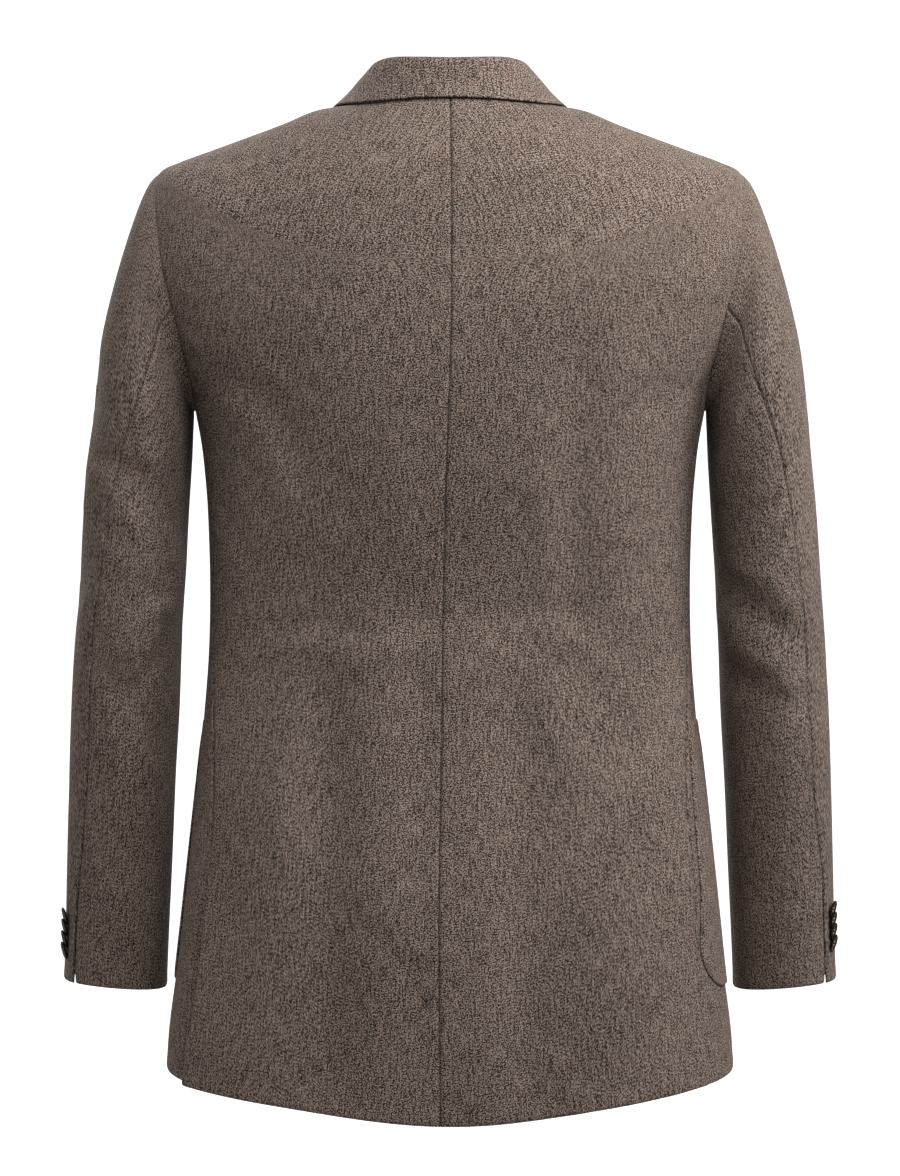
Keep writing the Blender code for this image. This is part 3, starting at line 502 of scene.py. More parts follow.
def shares(length, step=STEP, start=True, end=True):
    """Places from 0 to 1 along a length: even steps, and fine ones beside the edges."""
    first = EDGE_STEPS if start else EDGE_STEPS[:1]
    last = length - (EDGE_STEPS if end else EDGE_STEPS[:1])[::-1]
    count = max(int(np.ceil((last[0] - first[-1]) / step)), 1)
    middle = np.linspace(first[-1], last[0], count + 1)[1:-1]
    return np.concatenate([first, middle, last]) / length


def run_lengths(grid, axis):
    """Distance along the rows or columns of a grid, from its start."""
    steps = np.linalg.norm(np.diff(grid, axis=axis), axis=-1)
    first = np.zeros_like(np.take(steps, [0], axis=axis))
    return np.cumsum(np.concatenate([first, steps], axis=axis), axis=axis)


def edge_distances(grid):
    """Distance of every point from the grid's top, bottom, first and last edge."""
    down = run_lengths(grid, 0)
    across = run_lengths(grid, 1)
    return {"top": down, "bottom": down[-1:] - down, "first": across, "last": across[:, -1:] - across}


def grid_normals(grid, flip):
    """Unit normals: the cross product of the grid's two gradients."""
    return unit(np.cross(np.gradient(grid, axis=1), np.gradient(grid, axis=0))) * (-1.0 if flip else 1.0)


def border(rows, columns):
    """The numbers of the border's points, once round."""
    number = np.arange(rows * columns).reshape(rows, columns)
    return np.concatenate([number[0, :-1], number[:-1, -1], number[-1, :0:-1], number[:0:-1, 0]])


# %% Edges of a shell
SEWN_EDGE = {"dive": (0.95 * MM, 1.1 * MM), "band": (0.30 * MM, 5 * MM, 3.5 * MM)}
FOLDED_EDGE = {"dive": (0.5 * MM, 0.9 * MM), "band": (0.25 * MM, 4 * MM, 4 * MM)}
# width of the painted shade along a seam
PAINTED_SHADE_WIDTH = 0.7 * MM
EDGE_PLACES = {"top": np.s_[0, :], "bottom": np.s_[-1, :], "first": np.s_[:, 0], "last": np.s_[:, -1]}
RIM_FOLDED = 0.5 * MM
RIM_SEWN = 0.35 * MM


def edge_weights(edges):
    """Each edge with its weight, which is 1 where only names are given."""
    return dict(edges) if isinstance(edges, dict) else dict.fromkeys(edges, 1.0)


def dress_edges(outer, out, seams, folded):
    """Move the outer face beside its edges: down by depth * bell(d), and up by height * bell(d - at) in the
    band over the turned-in cloth. A seam dives deeper than a folded edge."""
    distance = edge_distances(outer)
    move = np.zeros(outer.shape[:2])
    for edges, form in ((seams, SEWN_EDGE), (folded, FOLDED_EDGE)):
        depth, near = form["dive"]
        height, at, wide = form["band"]
        for edge, weight in edges.items():
            d = distance[edge]
            move = move - weight * (depth * bell(d, near) - height * bell(d - at, wide))
    return outer + out * move[..., None]


def painted_seam_shade(outer, shade_lines):
    """Painted shade: 1 in a seam's line, 0 a millimetre away, as bell(d, 0.7 mm); it may start at a distance.
    """
    distance = edge_distances(outer)
    result = np.zeros(outer.shape[:2])
    for edge, weight, start in shade_lines:
        result = np.maximum(result, weight * bell(np.maximum(distance[edge] - start, 0.0), PAINTED_SHADE_WIDTH))
    return result


def rim_points(outer, inner, loop, folded):
    """The rim's middle row: halfway between the two faces, and a little outwards, more at a folded edge."""
    inward = np.zeros_like(outer)
    inward[0], inward[-1] = outer[1] - outer[0], outer[-2] - outer[-1]
    inward[:, 0] += outer[:, 1] - outer[:, 0]
    inward[:, -1] += outer[:, -2] - outer[:, -1]
    bulge = np.zeros(outer.shape[:2])
    for edge, place in EDGE_PLACES.items():
        bulge[place] = RIM_FOLDED if edge in folded else RIM_SEWN
    middle = (outer.reshape(-1, 3)[loop] + inner.reshape(-1, 3)[loop]) / 2
    return middle - unit(inward).reshape(-1, 3)[loop] * bulge.reshape(-1)[loop][:, None]


# %% The shell itself
UV_STEP = np.array([0.371, 0.593])


def shell_faces(rows, columns, loop):
    """Quads of the outer face, of the inner face turned round, and of the rim's upper and lower half."""
    count = rows * columns
    number = np.arange(count).reshape(rows, columns)
    corners = [number[:-1, :-1], number[:-1, 1:], number[1:, 1:], number[1:, :-1]]
    quads = np.stack(corners, axis=-1).reshape(-1, 4)
    after = np.roll(loop, -1)
    mid = 2 * count + np.arange(len(loop))
    mid_after = np.roll(mid, -1)
    rim_top = np.stack([after, loop, mid, mid_after], axis=-1)
    rim_low = np.stack([mid_after, mid, loop + count, after + count], axis=-1)
    return np.concatenate([quads, quads[:, ::-1] + count, rim_top, rim_low])


def on_all_points(values, loop):
    """The outer grid's values again for the inner grid and for the rim."""
    values = values.reshape(loop.max() + 1, -1)
    return np.concatenate([values, values, values[loop]])


def cloth_metres(outer):
    """UV in metres of cloth: across from the middle column, down from the top row, and for each new mesh a
    step further on, so that no two pieces show the same part of the weave."""
    distance = edge_distances(outer)
    middle_column = distance["first"][:, outer.shape[1] // 2][:, None]
    flat = np.stack([(distance["first"] - middle_column).ravel(), -distance["top"].ravel()], axis=-1)
    return flat + len(bpy.data.meshes) * UV_STEP


def enclosed(mesh, faces):
    """The volume inside closed quads, which is above 0 when they all face outwards."""
    points = np.zeros(len(mesh.vertices) * 3)
    mesh.vertices.foreach_get("co", points)
    quad = points.reshape(-1, 3)[faces]
    halves = np.cross(quad[:, 1], quad[:, 2]) + np.cross(quad[:, 2], quad[:, 3])
    return float((quad[:, 0] * halves).sum() / 6)


def sew_on(name, mesh, node):
    """The mesh as a piece of the blazer: it rides on the root and stands for its CAD node."""
    piece = bpy.data.objects.new(name, mesh)
    bpy.context.scene.collection.objects.link(piece)
    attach(piece, "root")
    if node:
        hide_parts(node)
    return piece


def shell(name, outer, flip, node, seams=(), folded=(), wall=WALL, lined=None, inner=None, shade_lines=None):
    """Outer grid, inner grid a wall below it, and a rim with a rounded middle row."""
    seams, folded = edge_weights(seams), edge_weights(folded)
    out = grid_normals(outer, flip)
    if inner is None:
        inner = outer - out * wall
    outer = dress_edges(outer, out, seams, folded)
    loop = border(*outer.shape[:2])
    rim = rim_points(outer, inner, loop, folded)
    points = np.concatenate([outer.reshape(-1, 3), inner.reshape(-1, 3), rim])
    faces = shell_faces(*outer.shape[:2], loop)
    if flip:
        faces = faces[:, ::-1]
    mesh = bpy.data.meshes.new(name)
    mesh.vertices.add(len(points))
    mesh.vertices.foreach_set("co", points.ravel())
    mesh.loops.add(faces.size)
    mesh.loops.foreach_set("vertex_index", faces.ravel())
    mesh.polygons.add(len(faces))
    mesh.polygons.foreach_set("loop_start", np.arange(len(faces)) * 4)
    mesh.update(calc_edges=True)
    flat = on_all_points(cloth_metres(outer), loop)
    mesh.uv_layers.new(name="cloth").data.foreach_set("uv", flat[faces.ravel()].ravel())
    # painted shade: every sewn edge, or each given shade line, is darkened through the seam attribute
    if shade_lines is None:
        shade_lines = [(edge, weight, 0.0) for edge, weight in seams.items()]
    attribute = mesh.attributes.new("seam", "FLOAT", "POINT")
    attribute.data.foreach_set("value", on_all_points(painted_seam_shade(outer, shade_lines), loop).ravel())
    mesh.materials.append(WOOL)
    if lined is not None:
        mesh.materials.append(LINING)
        inside = lined[:-1, :-1].ravel()
        kind = np.zeros(len(faces), dtype=np.int32)
        kind[len(inside):2 * len(inside)] = inside
        mesh.polygons.foreach_set("material_index", kind)
    mesh.shade_smooth()
    mesh.validate()
    print(name, "faces", len(faces), "litres", round(enclosed(mesh, faces) * 1000, 4))
    return sew_on(name, mesh, node)


# %% [markdown]
# ## Back, sides and fronts
# The body is cut in six: two backs with a seam down the middle, two side bodies, and two fronts that overlap
# by 14 cm. Each panel is a grid between two seam lines, in angle round the body and in level, so neighbours
# share their line exactly and never drift apart. The rows crowd at the shoulder point, where the armhole
# turns, and at the hem.

# %% Seam lines
SEAM_ANGLE = 0.0006
BACK_LENGTH = 0.742
SIDE_LENGTH = 0.712
VENT_LEVEL = 0.530
SHOULDER_LEVEL = 0.121
ARMPIT_LEVEL = 0.208
LOWEST_LEVEL = 0.742
ARMHOLE = {"middle": 0.1765, "half": 0.0555, "angle": np.radians(17.0)}
SIDE_SEAMS = table("level back front", [
    (208, 76.0, 104.0), (245, 78.8, 104.3), (300, 79.2, 105.0), (350, 80.2, 105.2), (390, 80.2, 105.5),
    (450, 76.6, 105.5), (500, 72.6, 106.0), (545, 70.6, 106.6), (600, 69.8, 107.2), (655, 68.5, 108.0),
    (690, 68.8, 108.5), (742, 70.2, 109.0),
], plain=("back", "front"))
BACK_SEAM = table("level x", [
    (-10, 0), (100, -1.2), (200, 0), (270, 2.5), (350, 4.5), (450, 6.0), (600, 8.0), (742, 7.0),
])


def fine_levels():
    """Rows of levels: even on the shoulder and below the armpit, and even along the armhole's curve."""
    armpit = np.arccos((ARMHOLE["middle"] - ARMPIT_LEVEL) / ARMHOLE["half"])
    shoulder = -0.010 + shares(0.131, start=True, end=False) * 0.131
    hole = ARMHOLE["middle"] - ARMHOLE["half"] * np.cos(np.linspace(0.0, armpit, 34))
    trunk_length, skirt_length = VENT_LEVEL - ARMPIT_LEVEL, LOWEST_LEVEL - VENT_LEVEL
    trunk = ARMPIT_LEVEL + shares(trunk_length, start=False, end=False) * trunk_length
    skirt = VENT_LEVEL + shares(skirt_length, start=False) * skirt_length
    return np.concatenate([shoulder[:-1], hole[:-1], trunk[:-1], skirt])


LEVELS = fine_levels()
ARMPIT_ROW = int(np.argmin(np.abs(LEVELS - ARMPIT_LEVEL)))


def side_angle(angle, side):
    """The angle of a place given for the left half, on either half."""
    return angle if side > 0 else 2 * np.pi - angle


def armhole_angle(level, back):
    """angle = 90 degrees -+ 17 degrees * sqrt(1 - ((middle - level) / half)^2) along the armhole."""
    cosine = np.clip((ARMHOLE["middle"] - level) / ARMHOLE["half"], -1.0, 1.0)
    reach = ARMHOLE["angle"] * np.sqrt(1.0 - cosine ** 2)
    return np.pi / 2 - reach if back else np.pi / 2 + reach


def seam_angle(level, column):
    """The angle of a side seam at a level."""
    return np.radians(smooth(SIDE_SEAMS["level"], SIDE_SEAMS[column], level))


def outer_edge(levels, back):
    """The side edge of a back or front panel: shoulder seam, armhole, then side seam."""
    seam = seam_angle(levels, "back" if back else "front")
    edge = np.where(levels < ARMPIT_LEVEL, armhole_angle(levels, back), seam)
    edge = np.where(levels <= SHOULDER_LEVEL, np.pi / 2, edge)
    free = ease(SHOULDER_LEVEL, SHOULDER_LEVEL + 0.005, levels) * (1.0 - ease(0.203, ARMPIT_LEVEL, levels))
    held = 1.0 - free
    return edge + (-1.0 if back else 1.0) * SEAM_ANGLE * held


def hem_level(angle, level):
    """Levels below the vent's top, stretched so that the last row meets the curved hem."""
    cosine = np.cos(angle)
    drop = np.where(cosine > 0, (BACK_LENGTH - SIDE_LENGTH) * np.abs(cosine) ** 1.35, 0.010 * np.abs(cosine))
    scale = (SIDE_LENGTH + drop - VENT_LEVEL) / (LOWEST_LEVEL - VENT_LEVEL)
    return np.where(level > VENT_LEVEL, VENT_LEVEL + (level - VENT_LEVEL) * scale, level)


def spread(start, end, share):
    """Columns from start to end (arrays of one value a row) at the shares."""
    return start[:, None] + (end - start)[:, None] * share[None, :]


def across_rows(levels, grid):
    """One value a row, repeated for every column of a grid."""
    return np.repeat(levels[:, None], grid.shape[1], axis=1)


print("rows", len(LEVELS), "armpit row", ARMPIT_ROW)

# %% Backs
HEM_TURN = 0.032
FRONT_TURN = 0.085
SLEEVE_TURN = 0.035
WORDS = {1: "left", -1: "right"}
WIDTHS = {"back": 0.200, "side": 0.100, "front": 0.250, "lapel": 0.080, "pocket": 0.185, "sleeve_top": 0.235,
          "sleeve_under": 0.150, "collar": 0.46}
VENT_FLARES = {1: 8.5 * MM, -1: 0.6 * MM}
FLARE_REACH = 0.42


def lining_mask(outer, bottom=HEM_TURN, last=0.0):
    """1 where the inner face is lined: everywhere but the cloth turned in at the bottom and the last edge."""
    d = edge_distances(outer)
    return ((d["bottom"] > bottom) & (d["last"] >= last)).astype(np.int32)


def panel(kind, side, outer, seams=(), folded=(), **settings):
    """A shell that is named for its kind and side and stands for the CAD node of that name."""
    name = f"{kind}_{WORDS[side]}"
    return shell(f"cloth_{name}", outer, side < 0, name, seams, folded, **settings)


def make_back(side):
    """Half of the back from the centre seam to shoulder, armhole and vent; below the vent's top its edge
    stands off by the flare."""
    lean = smooth(BACK_SEAM["level"], BACK_SEAM["x"], LEVELS) * side
    seam = np.arctan2(lean, ring_column("back_y", LEVELS)) + 0.6 * SEAM_ANGLE
    angle = spread(seam, outer_edge(LEVELS, True), shares(WIDTHS["back"]))
    level = hem_level(angle, across_rows(LEVELS, angle))
    inwards = 1.0 - ease(0.0, 1.0, (angle[:, -1:] - angle) / FLARE_REACH)
    lift = VENT_FLARES[side] * ease(VENT_LEVEL, SIDE_LENGTH, level) * inwards
    outer = body(side_angle(angle, side), level, lift)
    sewn = (1.0 - ease(VENT_LEVEL - 0.004, VENT_LEVEL + 0.004, LEVELS))[:, None]
    return panel("back", side, outer, {"first": 1.0, "last": sewn}, {"bottom": 1.0, "last": 1.0 - sewn},
                 lined=lining_mask(outer))


backs = {side: make_back(side) for side in (1, -1)}

# %% [markdown]
# The side body sits between back and front under the arm. Below the vent's top its rear edge goes on as an
# underlap behind the back panel, which is what keeps an open vent closed to the eye. The underlap is the
# same cloth, so the panel's grid simply runs on, one wall further in.

# %% Side bodies
UNDERLAP = 0.036
UNDERLAP_DEPTH = 1.3 * MM
VENT_GROOVE = {1: 5.5 * MM, -1: 0.4 * MM, "reach": 8.0 * MM, "length": 0.09}
TOP_FADE = 0.12
SIDE_RADIUS = 0.19
UNDERLAP_RADIUS = 0.185


def vent_sink(level, side):
    """How deep the side body sinks beside the vent: nothing at the vent's top, then the groove's depth."""
    return VENT_GROOVE[side] * ease(VENT_LEVEL, VENT_LEVEL + VENT_GROOVE["length"], level)


def make_side(side):
    """The side body: its top follows the armhole and fades into level rows 12 cm below."""
    levels = LEVELS[ARMPIT_ROW:]
    rear = seam_angle(levels, "back") + SEAM_ANGLE
    fore = seam_angle(levels, "front") - SEAM_ANGLE
    angle = spread(rear, fore, shares(WIDTHS["side"]))
    level = across_rows(levels, angle)
    turn = np.pi - np.arcsin(np.clip((np.pi / 2 - angle[0]) / ARMHOLE["angle"], -1.0, 1.0))
    top = ARMHOLE["middle"] - ARMHOLE["half"] * np.cos(turn)
    top[[0, -1]] = levels[0]
    fade = np.clip((levels - levels[0]) / TOP_FADE, 0.0, 1.0)
    level = hem_level(angle, level + (top - levels[0])[None, :] * ((1.0 - fade) ** 2)[:, None])
    beside = bell((angle - rear[:, None]) * SIDE_RADIUS, VENT_GROOVE["reach"])
    outer = body(side_angle(angle, side), level, -vent_sink(level, side) * beside)
    return panel("side", side, outer, ("first", "last"), ("bottom",), lined=lining_mask(outer))


def make_underlap(side):
    """The vent's underlap: a strip behind the back panel, from the side seam 36 mm towards the centre. It is
    cut in one with the side body, so it replaces no node of its own."""
    levels = LEVELS[np.argmin(np.abs(LEVELS - VENT_LEVEL)):]
    rear = seam_angle(levels, "back") + SEAM_ANGLE
    past = rear + 0.012
    angle = spread(rear - UNDERLAP / UNDERLAP_RADIUS, past, shares(UNDERLAP))
    level = hem_level(angle, across_rows(levels, angle))
    step_in = (WALL + UNDERLAP_DEPTH) * (1.0 - 0.35 * ease(rear[:, None] - 0.02, past[:, None], angle))
    outer = body(side_angle(angle, side), level, -(step_in + 0.8 * vent_sink(level, side)))
    return shell(f"cloth_underlap_{WORDS[side]}", outer, side < 0, None, (), ("first", "bottom"))


sides = {side: make_side(side) for side in (1, -1)}
underlaps = {side: make_underlap(side) for side in (1, -1)}

# %% [markdown]
# The left front lies over the right one, so it rises where the other and its lapel lie below it. Its free
# edge follows the lapel's roll line down to the break and then falls straight to the hem.

# %% Fronts
OVERLAP_X = 0.072
OVERLAP_LIFT = 6.4 * MM
BREAK_Z = -0.345
ROLL_TOP = (0.0475, -0.0530)


def angle_at(x, level):
    """The angle at which a ring's front passes x: y = far (1 - (x / width)^n)^(1/n), then the arctangent."""
    square = ring_column("square", level)
    far = ring_column("front_y", level) - ring_column("side_y", level)
    share = np.clip(np.abs(x) / ring_column("side_x", level), 0.0, 0.9999)
    return np.mod(np.arctan2(x, far * (1.0 - share ** square) ** (1.0 / square)), 2 * np.pi)


def locate(x, z):
    """The angle and level whose point lies at x and z in the front view, by halving the range of levels."""
    low = np.full(np.shape(x), BODY["level"][0] + 1e-5)
    high = np.full(np.shape(x), BODY["level"][-1])
    for _ in range(26):
        level = (low + high) / 2
        angle = angle_at(x, level)
        too_high = body_bare(angle, level)[..., 2] > z
        low = np.where(too_high, level, low)
        high = np.where(too_high, high, level)
    return angle, level


def roll_line(share):
    """The roll line in the front view, from the gorge (0) to the lapel's break (1)."""
    return ROLL_TOP[0] + (-OVERLAP_X - ROLL_TOP[0]) * share, ROLL_TOP[1] + (BREAK_Z - ROLL_TOP[1]) * share


def front_edge(levels):
    """The upper front's edge: along the roll line to the break, then straight down."""
    angle, level = locate(*roll_line(np.linspace(0.0, 1.0, 120)))
    straight = angle_at(np.full(len(levels), -OVERLAP_X), levels)
    return np.where(levels < level[-1], np.interp(levels, level, angle), straight)


def overlap_lift(angle, level, side):
    """The upper (left) front rises where the under front and its lapel lie below it."""
    if side < 0:
        return np.zeros_like(angle)
    bare = body_bare(angle, level)
    below = bare[..., 2] - ROLL_TOP[1]
    roll_x = -ROLL_TOP[0] + (OVERLAP_X + ROLL_TOP[0]) * below / (BREAK_Z - ROLL_TOP[1])
    reach = np.clip(roll_x, -1.0, OVERLAP_X)
    return OVERLAP_LIFT * ease(-0.040, -0.006, reach - bare[..., 0]) * ease(np.pi / 2, np.pi / 2 + 0.5, angle)


def make_front(side):
    """A front from shoulder, armhole and side seam to the roll line and the overlapping edge."""
    angle = spread(outer_edge(LEVELS, False), front_edge(LEVELS), shares(WIDTHS["front"]))
    level = hem_level(angle, across_rows(LEVELS, angle))
    outer = body(side_angle(angle, side), level, overlap_lift(angle, level, side))
    return panel("front", side, outer, ("first",), ("bottom", "last"),
                 lined=lining_mask(outer, last=FRONT_TURN))


fronts = {side: make_front(side) for side in (1, -1)}

# %% [markdown]
# ## Lapels
# A lapel is the front's own facing turned over the roll line. It lies on the front like a flat leaf with a
# soft tube along the fold, and its peak points up to the shoulder. The leaf is a grid in the front view,
# across from the roll line and down to the break, and the tube is a half circle added on its near side.

# %% Lapels
LAPEL_LIFT = 1.3 * MM
LAPEL_WALL = 1.6 * MM
LAPEL_LENGTH = 0.33
ROLL_PUFF = {"height": 1.2 * MM, "reach": 0.012, "covered": (0.42, 0.60)}
LAPEL_TOP = {"notch": (0.0900, -0.0730), "peak": (0.1260, -0.0520)}
LAPEL_EDGE = table("x z", [
    (126, -52), (119, -90), (100, -150), (64, -215), (14, -275), (-36, -320), (-71, -347),
])
NOTCH_AT = (LAPEL_TOP["notch"][0] - ROLL_TOP[0]) / (LAPEL_TOP["peak"][0] - ROLL_TOP[0])


def lapel_outline(across, down):
    """Between roll line and edge by across; the top edge dips to the notch and rises to the peak."""
    roll_x, roll_z = roll_line(down)
    run = np.linspace(0.0, 1.0, len(LAPEL_EDGE["x"]))
    x = roll_x + (smooth(run, LAPEL_EDGE["x"], down) - roll_x) * across
    z = roll_z + (smooth(run, LAPEL_EDGE["z"], down) - roll_z) * across
    dip = LAPEL_TOP["notch"][1] - (ROLL_TOP[1] + (LAPEL_TOP["peak"][1] - ROLL_TOP[1]) * NOTCH_AT)
    shape = np.where(across < NOTCH_AT, across / NOTCH_AT, (1.0 - across) / (1.0 - NOTCH_AT))
    return x, z + dip * shape * (1.0 - ease(0.0, 0.35, down))


def make_lapel(side):
    """The leaf's grid, with the roll's half circle r (cos f normal - sin f across) before its first column.
    The leaf puffs up beside the roll, but not where the other front covers it."""
    share = shares(WIDTHS["lapel"])
    near = np.argmin(np.abs(share - NOTCH_AT))
    share[near] = NOTCH_AT
    across, down = np.meshgrid(0.004 + 0.996 * share, 0.985 * shares(LAPEL_LENGTH, end=False) ** 1.05)
    angle, level = locate(*lapel_outline(across, down))
    lift = overlap_lift(angle, level, side) + LAPEL_LIFT + WALL
    covered = ease(*ROLL_PUFF["covered"], down) if side < 0 else 0.0
    puff = ROLL_PUFF["height"] * (1.0 - covered) * bell(across * WIDTHS["lapel"], ROLL_PUFF["reach"])
    outer = body(side_angle(angle, side), level, lift + puff)
    out = grid_normals(outer, side < 0)
    aside = unit(outer[:, 1] - outer[:, 0])[:, None]
    radius = (LAPEL_LIFT + 2 * WALL + ROLL_PUFF["height"]) / 2
    fold = np.linspace(np.pi, 0.0, 9)[:-1][None, :, None]
    centre = outer[:, :1] - out[:, :1] * radius
    tube = centre + radius * (np.cos(fold) * out[:, :1] - np.sin(fold) * aside)
    outer = np.concatenate([tube, outer], axis=1)
    return panel("lapel", side, outer, (), ("top", "last"), wall=LAPEL_WALL)


lapels = {side: make_lapel(side) for side in (1, -1)}

# %% [markdown]
# ## Patch pockets
# A patch pocket is a piece of cloth with turned edges and round lower corners, sewn on from the outside. It
# holds its place on the panel below, so its grid is read from the same form, a little further out, and
# the middle stands slightly off where the pocket is slack.

# %% Pockets
LAYER_LIFT = 0.3 * MM
POCKET_WALL = 1.3 * MM
POCKET = {"top": 0.455, "bottom": 0.650, "rear_top": 76.5, "rear_bottom": 69.6, "fore_top": 131.0,
          "fore_bottom": 127.0, "left_shift": 15.0, "corner": 0.034, "puff": 1.6 * MM}


def make_pocket(side):
    """Rear and fore edges run between their angles, and come in by r - sqrt(r^2 - d^2) at the corners."""
    down = shares(POCKET["bottom"] - POCKET["top"])
    levels = POCKET["top"] + (POCKET["bottom"] - POCKET["top"]) * down
    past = np.maximum(levels - (POCKET["bottom"] - POCKET["corner"]), 0.0)
    inset = (POCKET["corner"] - np.sqrt(np.maximum(POCKET["corner"] ** 2 - past ** 2, 0.0))) / SIDE_RADIUS
    shift = POCKET["left_shift"] if side > 0 else 0.0
    edges = {edge: POCKET[f"{edge}_top"] + (POCKET[f"{edge}_bottom"] - POCKET[f"{edge}_top"]) * down + shift
             for edge in ("rear", "fore")}
    rear, fore = np.radians(edges["rear"]) + inset, np.radians(edges["fore"]) - inset
    share = shares(WIDTHS["pocket"])
    angle = spread(rear, fore, share)
    level = across_rows(levels, angle)
    bulge = POCKET["puff"] * np.sin(np.pi * share)[None, :] * np.sin(np.pi * down)[:, None] ** 0.5
    thick = (LAYER_LIFT + POCKET_WALL) * (0.45 + 0.55 * ease(0.0, 0.12, down))[:, None]
    lift = overlap_lift(angle, level, side) + thick + bulge
    outer = body(side_angle(angle, side), level, lift)
    return panel("pocket", side, outer, (), ("top", "bottom", "first", "last"), wall=POCKET_WALL)


pockets = {side: make_pocket(side) for side in (1, -1)}

# %% [markdown]
# ## Sleeves
# A tailored sleeve has an upper and an under piece, and bends forward at the elbow. Its rings stand
# round a line from the armhole to the wrist; the first ring is the armhole's own curve, so the sleeve grows
# out of the body without a gap. Lengthwise every line is a smooth curve through its rings.

# %% Sleeve form
# the sleeve's first ring is 1.03 times as wide as the armhole and lies a millimetre under the body's edge
TUCK = 1.03
TUCK_DEPTH = 1.0 * MM
SLEEVE = table("out_x out_z in_x in_z mid_y back front bow", [
    (224.5, -60, 190.4, -226, 0, 63, 62, 9.5), (236.5, -90, 190.8, -230, -1, 67, 66, 7.5),
    (250, -134, 191.2, -235, -3, 72, 71, 4.5), (260.5, -180, 191.7, -241, -5, 76, 74, 2),
    (266.3, -228, 192.3, -251, -8, 77, 76, 0.5), (269.4, -262, 193.2, -267, -10, 76, 76, 0),
    (273.2, -300, 195.4, -300, -12, 74, 75, 0), (277.5, -360, 199.0, -360, -15, 70, 72, 0),
    (281.0, -404, 201.3, -404, -18, 67, 69, 0), (283.7, -449, 203.1, -449, -22, 63, 66, 0),
    (286.2, -508, 206.7, -508, -29, 59, 61, 0), (288.4, -568, 209.7, -568, -37, 56, 57, 0),
    (289.8, -611, 212.2, -614, -42.5, 54, 54, 0), (291.6, -652, 214.4, -659, -48, 52, 52, 0),
])
SLEEVE_SQUARE = 2.15
LAST_STATION = 14.0
SLEEVE_RADIUS = 0.045
SLEEVE_SEAMS = table("station hindarm forearm", [
    (0, 91, 216), (0.5, 100, 217), (1, 106, 218), (2, 105, 222), (3, 100.5, 225), (4, 95, 227),
    (5, 84.5, 228), (6, 73, 228), (7, 67.5, 227), (8, 60, 226), (9, 55.5, 225), (10, 56.5, 225),
    (11, 56, 225), (12, 48, 225), (13, 44.5, 225), (14, 44.5, 225),
], plain=("station", "hindarm", "forearm"))
SLEEVE_FOLDS = table("angle0 z0 angle1 z1 width height side", [
    (20, -215, 120, -300, 16, 3.0, 1), (40, -275, 130, -330, 13, -2.4, 1),
    (150, -355, 110, -400, 13, -3.2, 1), (60, -300, 30, -350, 14, 2.4, 1), (70, -420, 140, -470, 15, 2.2, 1),
    (100, -150, 75, -200, 15, -2.6, -1), (140, -360, 60, -405, 15, 3.0, -1),
    (130, -420, 70, -440, 13, 2.6, -1), (150, -385, 90, -425, 12, -2.6, -1),
    (90, -235, 140, -275, 14, -2.4, -1), (250, -350, 300, -380, 16, -2.5, 1),
    (250, -350, 300, -385, 16, -2.5, -1), (260, -400, 320, -425, 16, 2.4, 1),
    (260, -405, 320, -430, 16, 2.4, -1),
], plain=("angle0", "angle1", "side"))
SLEEVE_CREASES = table("angle0 z0 angle1 z1 bow width height side", [
    (60, -245, 118, -262, 5, 7, 1.1, 1), (50, -262, 128, -296, -5, 7, -1.1, 1),
    (30, -300, 100, -345, 4, 7, 1.0, 1), (135, -372, 90, -398, 4, 6, 1.2, 1),
    (140, -392, 104, -430, -4, 7, -1.1, 1), (40, -380, 70, -440, 5, 8, 0.9, 1),
    (90, -470, 120, -540, 4, 8, 0.9, 1), (30, -520, 60, -590, -4, 8, -0.8, 1),
    (110, -180, 96, -225, 3, 8, 1.0, 1), (128, -345, 80, -368, 4, 7, 1.1, -1),
    (120, -368, 62, -392, -4, 6, -1.1, -1), (136, -405, 84, -428, 4, 7, 1.1, -1),
    (50, -430, 110, -480, -4, 8, -0.9, -1), (84, -500, 118, -560, 4, 8, 0.9, -1),
    (40, -540, 66, -600, 4, 8, 0.8, -1), (96, -196, 120, -240, -4, 7, 1.2, -1),
    (70, -270, 110, -310, 4, 8, -0.9, -1), (250, -300, 290, -330, 4, 8, 0.9, 1),
    (250, -300, 290, -330, 4, 8, 0.9, -1), (215, -380, 262, -396, -4, 7, -1.0, 1),
    (215, -380, 262, -396, -4, 7, -1.0, -1), (300, -430, 330, -500, 5, 9, 0.9, 1),
    (300, -430, 330, -500, -5, 9, 0.9, -1),
], plain=("angle0", "angle1", "side"))


def armhole(turn, size):
    """Angle and level along the left armhole, size times as wide: turn is 0 at the shoulder and 90 degrees
    at the back."""
    return (np.pi / 2 - size * ARMHOLE["angle"] * np.sin(turn),
            ARMHOLE["middle"] - size * ARMHOLE["half"] * np.cos(turn))


def sleeve_stations(turn):
    """Every ring's point at a turn: middle + half diameter * r cos, depth * r sin, bowed out by bow sin^2."""
    angle, level = armhole(turn, TUCK)
    rings = [body_bare(angle, level) - normals(body_bare, angle, level) * TUCK_DEPTH]
    cosine, sine = np.cos(turn), np.sin(turn)
    radius = (np.abs(cosine) ** SLEEVE_SQUARE + np.abs(sine) ** SLEEVE_SQUARE) ** (-1.0 / SLEEVE_SQUARE)
    for out_x, out_z, in_x, in_z, mid_y, back, front, bow in zip(*SLEEVE.values()):
        outside, inside = np.array([out_x, 0.0, out_z]), np.array([in_x, 0.0, in_z])
        point = (outside + inside) / 2 + (outside - inside) / 2 * (radius * cosine)[..., None]
        point[..., 1] = mid_y + np.where(sine >= 0, back, front) * radius * sine
        point[..., 0] += bow * np.where(sine >= 0, 1.0, 1.45) * sine ** 2
        rings.append(point)
    return np.stack(rings)


